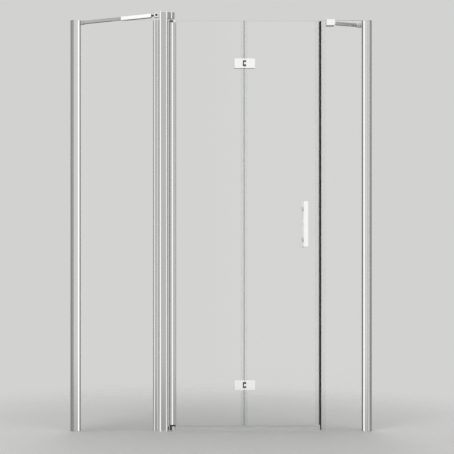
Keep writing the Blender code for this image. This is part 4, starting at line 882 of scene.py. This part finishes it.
def wall_end(side, wall_x, inward, reach, height, place, finish):
    """The wall flange with its forked knuckle, and the swivel sleeve on its tongue."""
    facing = axes((wall_x, reach, height), (0, inward, 0), (0, 0, 1), (inward, 0, 0))
    disc, thick, stem = 0.017, 0.005, 0.0075
    flange = turned([(0, 0), (disc, 0), (disc, thick), (stem, thick), (stem, KNUCKLE_OUT),
                     (0, KNUCKLE_OUT)], [0, 0.0003, 0.0016, 0.0010, 0.0005, 0], facing)
    fork, cheek, inner = 0.0095, 0.0085, 0.0033
    web = block((-fork, -0.005, -cheek), (-0.0068, 0.005, cheek), 0.0006, 0.0006, place)
    lugs = [plug(fork, low, high, 0.0007, place)
            for low, high in ((-cheek, -inner), (inner, cheek))]
    piece(f"{side}_wall_fork", [flange, web, *lugs], "chrome", "frame",
          f"{side}_bar_wall_flange")
    sleeve = block((-SLEEVE_HALF, -SLEEVE_HALF, 0.0105), (SLEEVE_HALF, SLEEVE_HALF, 0.0375),
                   0.0018, 0.0014, place @ ACROSS, 6)
    piece(f"{side}_wall_sleeve", [sleeve, *swivel_tongue(0.0125, place)], finish, "frame",
          f"{side}_bar_wall_swivel")
    under = place @ axes((0.026, 0, -SLEEVE_HALF), (1, 0, 0), (0, -1, 0), (0, 0, -1))
    piece(f"{side}_wall_end_screws", socket_screw(0.0035, 0.001, place @ at(0, 0, cheek))
          + socket_screw(0.0022, 0.0006, under), "stainless", "frame")


# Half the width of a bar's tube and of the sleeves on it, and how far from its wall knuckle
# a tube starts, inside the swivel's sleeve.
TUBE_HALF, SLEEVE_HALF = 0.0075, 0.0095
TUBE_START = 0.0228


def square_tube(start, end, place, half=TUBE_HALF, bore=0.006):
    """A hollow square bar with softened corners."""
    outer = rounded(rectangle(-half, half, -half, half), 0.0016, 6)
    hole = rounded(rectangle(-bore, bore, -bore, bore)[::-1], 0.0004, 3)
    return prism([outer, hole], start, end, 0.0003, place @ ACROSS)


class DOOR_OT_stay_bars(bpy.types.Operator):
    """Both stay bars with their swivels, wall flanges, post puck and glass clamp"""

    bl_idname = "door.stay_bars"
    bl_label = "Stay Bars"

    def execute(self, context):
        self.left_bar(POST_TOP - 0.013, (-0.0727, 0.005))
        self.right_bar(PANEL_TOP - 0.0105, (0.7858, 0.0138))
        return {"FINISHED"}

    def left_bar(self, height, centre):
        """A square tube in a thicker sleeve, from the wall to a round puck on the post."""
        reach = 0.170
        place, length = bar_place(WALL_LEFT, 1, reach, height, centre)
        wall_end("left", WALL_LEFT, 1, reach, height, place, "bar")
        end = length - 0.0245
        mouth = end - 0.160
        piece("left_tube", [square_tube(TUBE_START, mouth + 0.090, place)], "bar", "frame",
              "left_bar")
        piece("left_tube_sleeve", [square_tube(mouth, end, place, SLEEVE_HALF, 0.0078)],
              "chrome", "frame", "left_bar_sleeve")
        here, facing = at(*centre, height), at(*centre, height, FACE_OUT)
        radius, half, sunk = 0.0122, 0.009, 0.006
        puck = turned([(0, -half), (radius, -half), (radius, half), (0.0062, half),
                       (0.0040, sunk), (0, sunk)], [0, 0.0016, 0.0012, 0.0006, 0.0003, 0],
                      facing, 96)
        neck = block((0.0, -0.005, -0.010), (0.0124, 0.005, 0.010), 0.0008, place=here)
        filler = block((end - 0.012, -TUBE_HALF, -TUBE_HALF),
                       (end - FIT, TUBE_HALF, TUBE_HALF), 0.0006, 0.0005, place)
        piece("post_puck", [puck, neck, filler], "chrome", "frame", "left_bar_post_swivel")
        link = 0.0035
        piece("puck_link", [block((end - 0.004, -link, -link), (length - 0.008, link, link),
                                  0.0004, 0.0004, place)], "nylon", "frame")
        piece("puck_screw", socket_screw(0.0038, 0.0022, facing @ at(0, 0, 0.0058)),
              "nylon", "frame")

    def right_bar(self, height, target):
        """A short square tube from the wall to the saddle clamp on the glass."""
        reach = 0.062
        place, length = bar_place(WALL_RIGHT, -1, reach, height, target)
        wall_end("right", WALL_RIGHT, -1, reach, height, place, "chrome")
        piece("right_tube", [square_tube(TUBE_START, length - 0.022, place)], "post", "frame",
              "right_bar")
        (left, front, bottom), (right, back, top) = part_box("right_bar_glass_clamp")
        grip, under = GLASS_HALF + FIT, PANEL_TOP + FIT
        saddle = [(front, bottom), (-grip, bottom), (-grip, under), (grip, under),
                  (grip, bottom), (back, bottom), (back, top), (front, top)]
        radii = [0.0015, 0.0014, 0.0004, 0.0004, 0.0014, 0.0015, 0.0015, 0.0015]
        piece("glass_saddle", [prism([rounded(saddle, radii)], left, right, 0.0013, ACROSS,
                                     5)], "chrome", "frame", "right_bar_glass_clamp")
        inward = place @ axes((length, 0, 0), (-1, 0, 0), (0, -1, 0), (0, 0, 1))
        half = 0.0055
        swivel = block((0.0145, -half, -half), (0.034, half, half), 0.0006, 0.0005, inward)
        piece("clamp_swivel", [swivel, *swivel_tongue(0.0165, inward)], "chrome", "frame",
              "right_bar_glass_swivel")
        screws = []
        for x in (left + 0.010, right - 0.010):
            screws += socket_screw(0.0028, 0.0008, at(x, back, bottom + 0.010, FACE_IN))
        piece("clamp_screws", screws, "stainless", "frame")


class DOOR_OT_studio(bpy.types.Operator):
    """Pale floor, even background, soft lamps and the camera in front of the door"""

    bl_idname = "door.studio"
    bl_label = "Studio"

    def execute(self, context):
        stage = context.scene.shower_stage
        self.lay_floor(stage)
        self.light_room(stage)
        self.place_lamps(stage)
        self.place_camera()
        context.scene.view_settings.view_transform = "Standard"
        return {"FINISHED"}

    def lay_floor(self, stage):
        """A flat disc: rings of points at growing radius over a full turn."""
        count, height = 96, -0.0005
        rings = np.array([(radius, height) for radius in (0.5, 1.0, 1.7, 2.4)])
        points = around(rings, count).reshape(-1, 3)
        column = np.arange(count)
        faces = [quad[::-1] for quad in strip_faces(len(rings), count)]
        faces += np.stack([np.full(count, len(points)), column, (column + 1) % count],
                          1).tolist()
        mesh = bpy.data.meshes.new("studio_floor")
        mesh.from_pydata(points.tolist() + [(0.0, 0.0, height)], [], faces)
        floor = bpy.data.objects.new("studio_floor", mesh)
        bpy.context.scene.collection.objects.link(floor)
        made = material("studio_floor", stage.floor_colour, {"Roughness": 0.6},
                        ((30, 30, 30), 2.0, 0.5, (0.5, 0.7), None))
        # Far from the door the floor fades into the background.
        tree = made.node_tree
        place = add_node(tree, "ShaderNodeTexCoord").outputs["Object"]
        centred = add_node(tree, "ShaderNodeMapping", {"Location": (-0.24, 0, 0)},
                           {"Vector": place})
        away = add_node(tree, "ShaderNodeVectorMath", {"operation": "LENGTH"}, {0: centred})
        fade = add_node(tree, "ShaderNodeMapRange", {
            "interpolation_type": "SMOOTHSTEP", "From Min": 0.8, "From Max": 2.1},
            {"Value": away.outputs["Value"]})
        clear = add_node(tree, "ShaderNodeBsdfTransparent", {"Color": (1, 1, 1, 1)})
        mixed = add_node(tree, "ShaderNodeMixShader", links={
            0: fade, 1: tree.nodes["Principled BSDF"], 2: clear})
        tree.links.new(mixed.outputs[0], tree.nodes["Material Output"].inputs["Surface"])
        mesh.materials.append(made)
        floor.visible_glossy = False

    def light_room(self, stage):
        """World: a plain pale background, bands of light for reflections, an even fill."""
        world = bpy.data.worlds.new("studio_room")
        bpy.context.scene.world = world
        world.use_nodes = True
        tree = world.node_tree
        tree.nodes.clear()
        sky = add_node(tree, "ShaderNodeTexCoord").outputs["Generated"]
        x, y, z = add_node(tree, "ShaderNodeSeparateXYZ", links={"Vector": sky}).outputs
        path = add_node(tree, "ShaderNodeLightPath").outputs
        # Each mask rises from nothing to its most between two values of its source.
        front = add_node(tree, "ShaderNodeMath", {"operation": "MULTIPLY", 1: -1.0}, {0: y})
        azimuth = add_node(tree, "ShaderNodeMath", {"operation": "ARCTAN2"}, {0: x, 1: front})
        centred = add_node(tree, "ShaderNodeMath", {"operation": "ADD", 1: 0.205}, {0: z})
        apart = add_node(tree, "ShaderNodeMath", {"operation": "ABSOLUTE"}, {0: centred})
        share, behind, level, deep, ahead, lower = [
            add_node(tree, "ShaderNodeMapRange",
                     {"From Min": start, "From Max": end, "To Max": most}, {"Value": source})
            for source, start, end, most in (
                (azimuth, -math.pi, math.pi, 1.0), (y, 0.3, 0.7, 1.0),
                (apart, 0.08, 0.035, 0.95), (z, -0.24, -0.40, 0.30), (y, -0.86, -0.92, 1.0),
                (z, -0.10, -0.16, 0.36))]
        bands = add_node(tree, "ShaderNodeValToRGB", links={"Fac": share})
        ramp = bands.color_ramp
        ramp.interpolation = "EASE"
        stops = ((-180, 0.50), (-150, 0.45), (-128, 0.50), (-108, 1.25), (-72, 1.25),
                 (-64, 0.50), (-52, 0.50), (-49, 1.04), (-44, 1.08), (-42, 1.80),
                 (-29, 1.80), (-26, 0.46), (-16, 0.50), (-6, 1.0), (-1, 0.88), (3.5, 0.86),
                 (6, 1.0), (12, 1.0), (20, 0.76), (27, 0.42), (30, 1.80), (41, 1.80),
                 (43.5, 0.46), (62, 0.46), (74, 1.25), (105, 1.25), (125, 0.50),
                 (150, 0.45), (180, 0.50))
        while len(ramp.elements) < len(stops):
            ramp.elements.new(0.5)
        for element, (degrees, bright) in zip(ramp.elements, stops):
            element.position = (degrees + 180) / 360
            element.color = (bright, bright, bright, 1)
        unmirrored = add_node(tree, "ShaderNodeMath", {"operation": "LESS_THAN", 1: 0.5},
                              {0: path["Glossy Depth"]})
        through, under, dim = [
            add_node(tree, "ShaderNodeMath", {"operation": "MULTIPLY"}, {0: one, 1: other})
            for one, other in ((path["Is Transmission Ray"], unmirrored), (behind, level),
                               (ahead, lower))]
        seen, reflected, sunk = [
            add_node(tree, "ShaderNodeMath", {"operation": "MAXIMUM"}, {0: one, 1: other})
            for one, other in ((path["Is Camera Ray"], through),
                               (path["Is Glossy Ray"], path["Is Transmission Ray"]),
                               (under, deep))]
        darker = add_node(tree, "ShaderNodeMath", {"operation": "MAXIMUM"}, {0: sunk, 1: dim})
        shade = add_node(tree, "ShaderNodeMix", {"data_type": "RGBA", 7: (0.05, 0.05, 0.05, 1)},
                         {0: darker, 6: bands})
        mirrored = add_node(tree, "ShaderNodeBackground", {"Strength": 1.0},
                            {"Color": shade.outputs[2]})
        plain = add_node(tree, "ShaderNodeBackground",
                         {"Color": (*stage.background, 1), "Strength": 1.0})
        even = add_node(tree, "ShaderNodeBackground",
                        {"Color": (1, 1, 1, 1), "Strength": stage.sky_strength})
        lit = add_node(tree, "ShaderNodeMixShader", links={0: reflected, 1: even, 2: mirrored})
        shown = add_node(tree, "ShaderNodeMixShader", links={0: seen, 1: lit, 2: plain})
        add_node(tree, "ShaderNodeOutputWorld", links={"Surface": shown})

    def place_lamps(self, stage):
        """Two large soft lamps in front and one above, all aimed at the door's middle."""
        middle = Vector((0.24, 0.0, 1.0))
        weak = 0.6 * stage.key_power
        for name, place, size, power in (("key", (-2.6, -3.4, 3.2), 2.4, stage.key_power),
                                         ("fill", (3.6, -2.8, 2.2), 2.6, weak),
                                         ("back", (0.4, 3.4, 3.4), 2.6, weak)):
            data = bpy.data.lights.new(name, "AREA")
            data.shape, data.size, data.energy = "DISK", size, power
            lamp = bpy.data.objects.new(name, data)
            lamp.location = place
            lamp.rotation_euler = (middle - Vector(place)).to_track_quat("-Z", "Y").to_euler()
            lamp.visible_camera = lamp.visible_transmission = lamp.visible_glossy = False
            bpy.context.scene.collection.objects.link(lamp)

    def place_camera(self):
        """A camera level with the handle, left of the middle, with a shifted frame."""
        data = bpy.data.cameras.new("camera")
        data.sensor_width = 36.0
        data.lens = 81.15
        data.shift_x = 0.2115
        data.shift_y = 0.0793
        camera = bpy.data.objects.new("camera", data)
        camera.location = (-0.1965, -4.99, 0.818)
        camera.rotation_euler = (math.pi / 2, 0.0, 0.0)
        bpy.context.scene.collection.objects.link(camera)
        bpy.context.scene.camera = camera


class DOOR_PT_sidebar(bpy.types.Panel):
    """Sidebar with the door's pieces and settings"""

    bl_idname = "DOOR_PT_sidebar"
    bl_label = "Niche Shower Door"
    bl_space_type = "VIEW_3D"
    bl_region_type = "UI"
    bl_category = "Shower Door"

    def draw(self, context):
        for settings in (context.scene.shower_door, context.scene.shower_stage):
            for name in settings.bl_rna.properties.keys():
                if name not in ("rna_type", "name"):
                    self.layout.prop(settings, name)
        for operator in OPERATORS:
            self.layout.operator(operator.bl_idname)


OPERATORS = (DOOR_OT_wall_profiles, DOOR_OT_hinge_post, DOOR_OT_pivot, DOOR_OT_glazing,
             DOOR_OT_seals, DOOR_OT_fold_hinges, DOOR_OT_handle, DOOR_OT_stay_bars,
             DOOR_OT_studio)
CLASSES = (ShowerDoorSettings, ShowerStageSettings, *OPERATORS, DOOR_PT_sidebar)


def register():
    """Register the classes and hang the settings on the scene."""
    for made in CLASSES:
        bpy.utils.register_class(made)
    bpy.types.Scene.shower_door = PointerProperty(type=ShowerDoorSettings)
    bpy.types.Scene.shower_stage = PointerProperty(type=ShowerStageSettings)


def unregister():
    """Take the settings and classes away again."""
    del bpy.types.Scene.shower_door
    del bpy.types.Scene.shower_stage
    for made in reversed(CLASSES):
        bpy.utils.unregister_class(made)


def main():
    """Make every piece and the stage."""
    register()
    bpy.ops.door.wall_profiles()
    bpy.ops.door.hinge_post()
    bpy.ops.door.pivot()
    bpy.ops.door.glazing()
    bpy.ops.door.seals()
    bpy.ops.door.fold_hinges()
    bpy.ops.door.handle()
    bpy.ops.door.stay_bars()
    bpy.ops.door.studio()


if __name__ == "__main__":
    main()
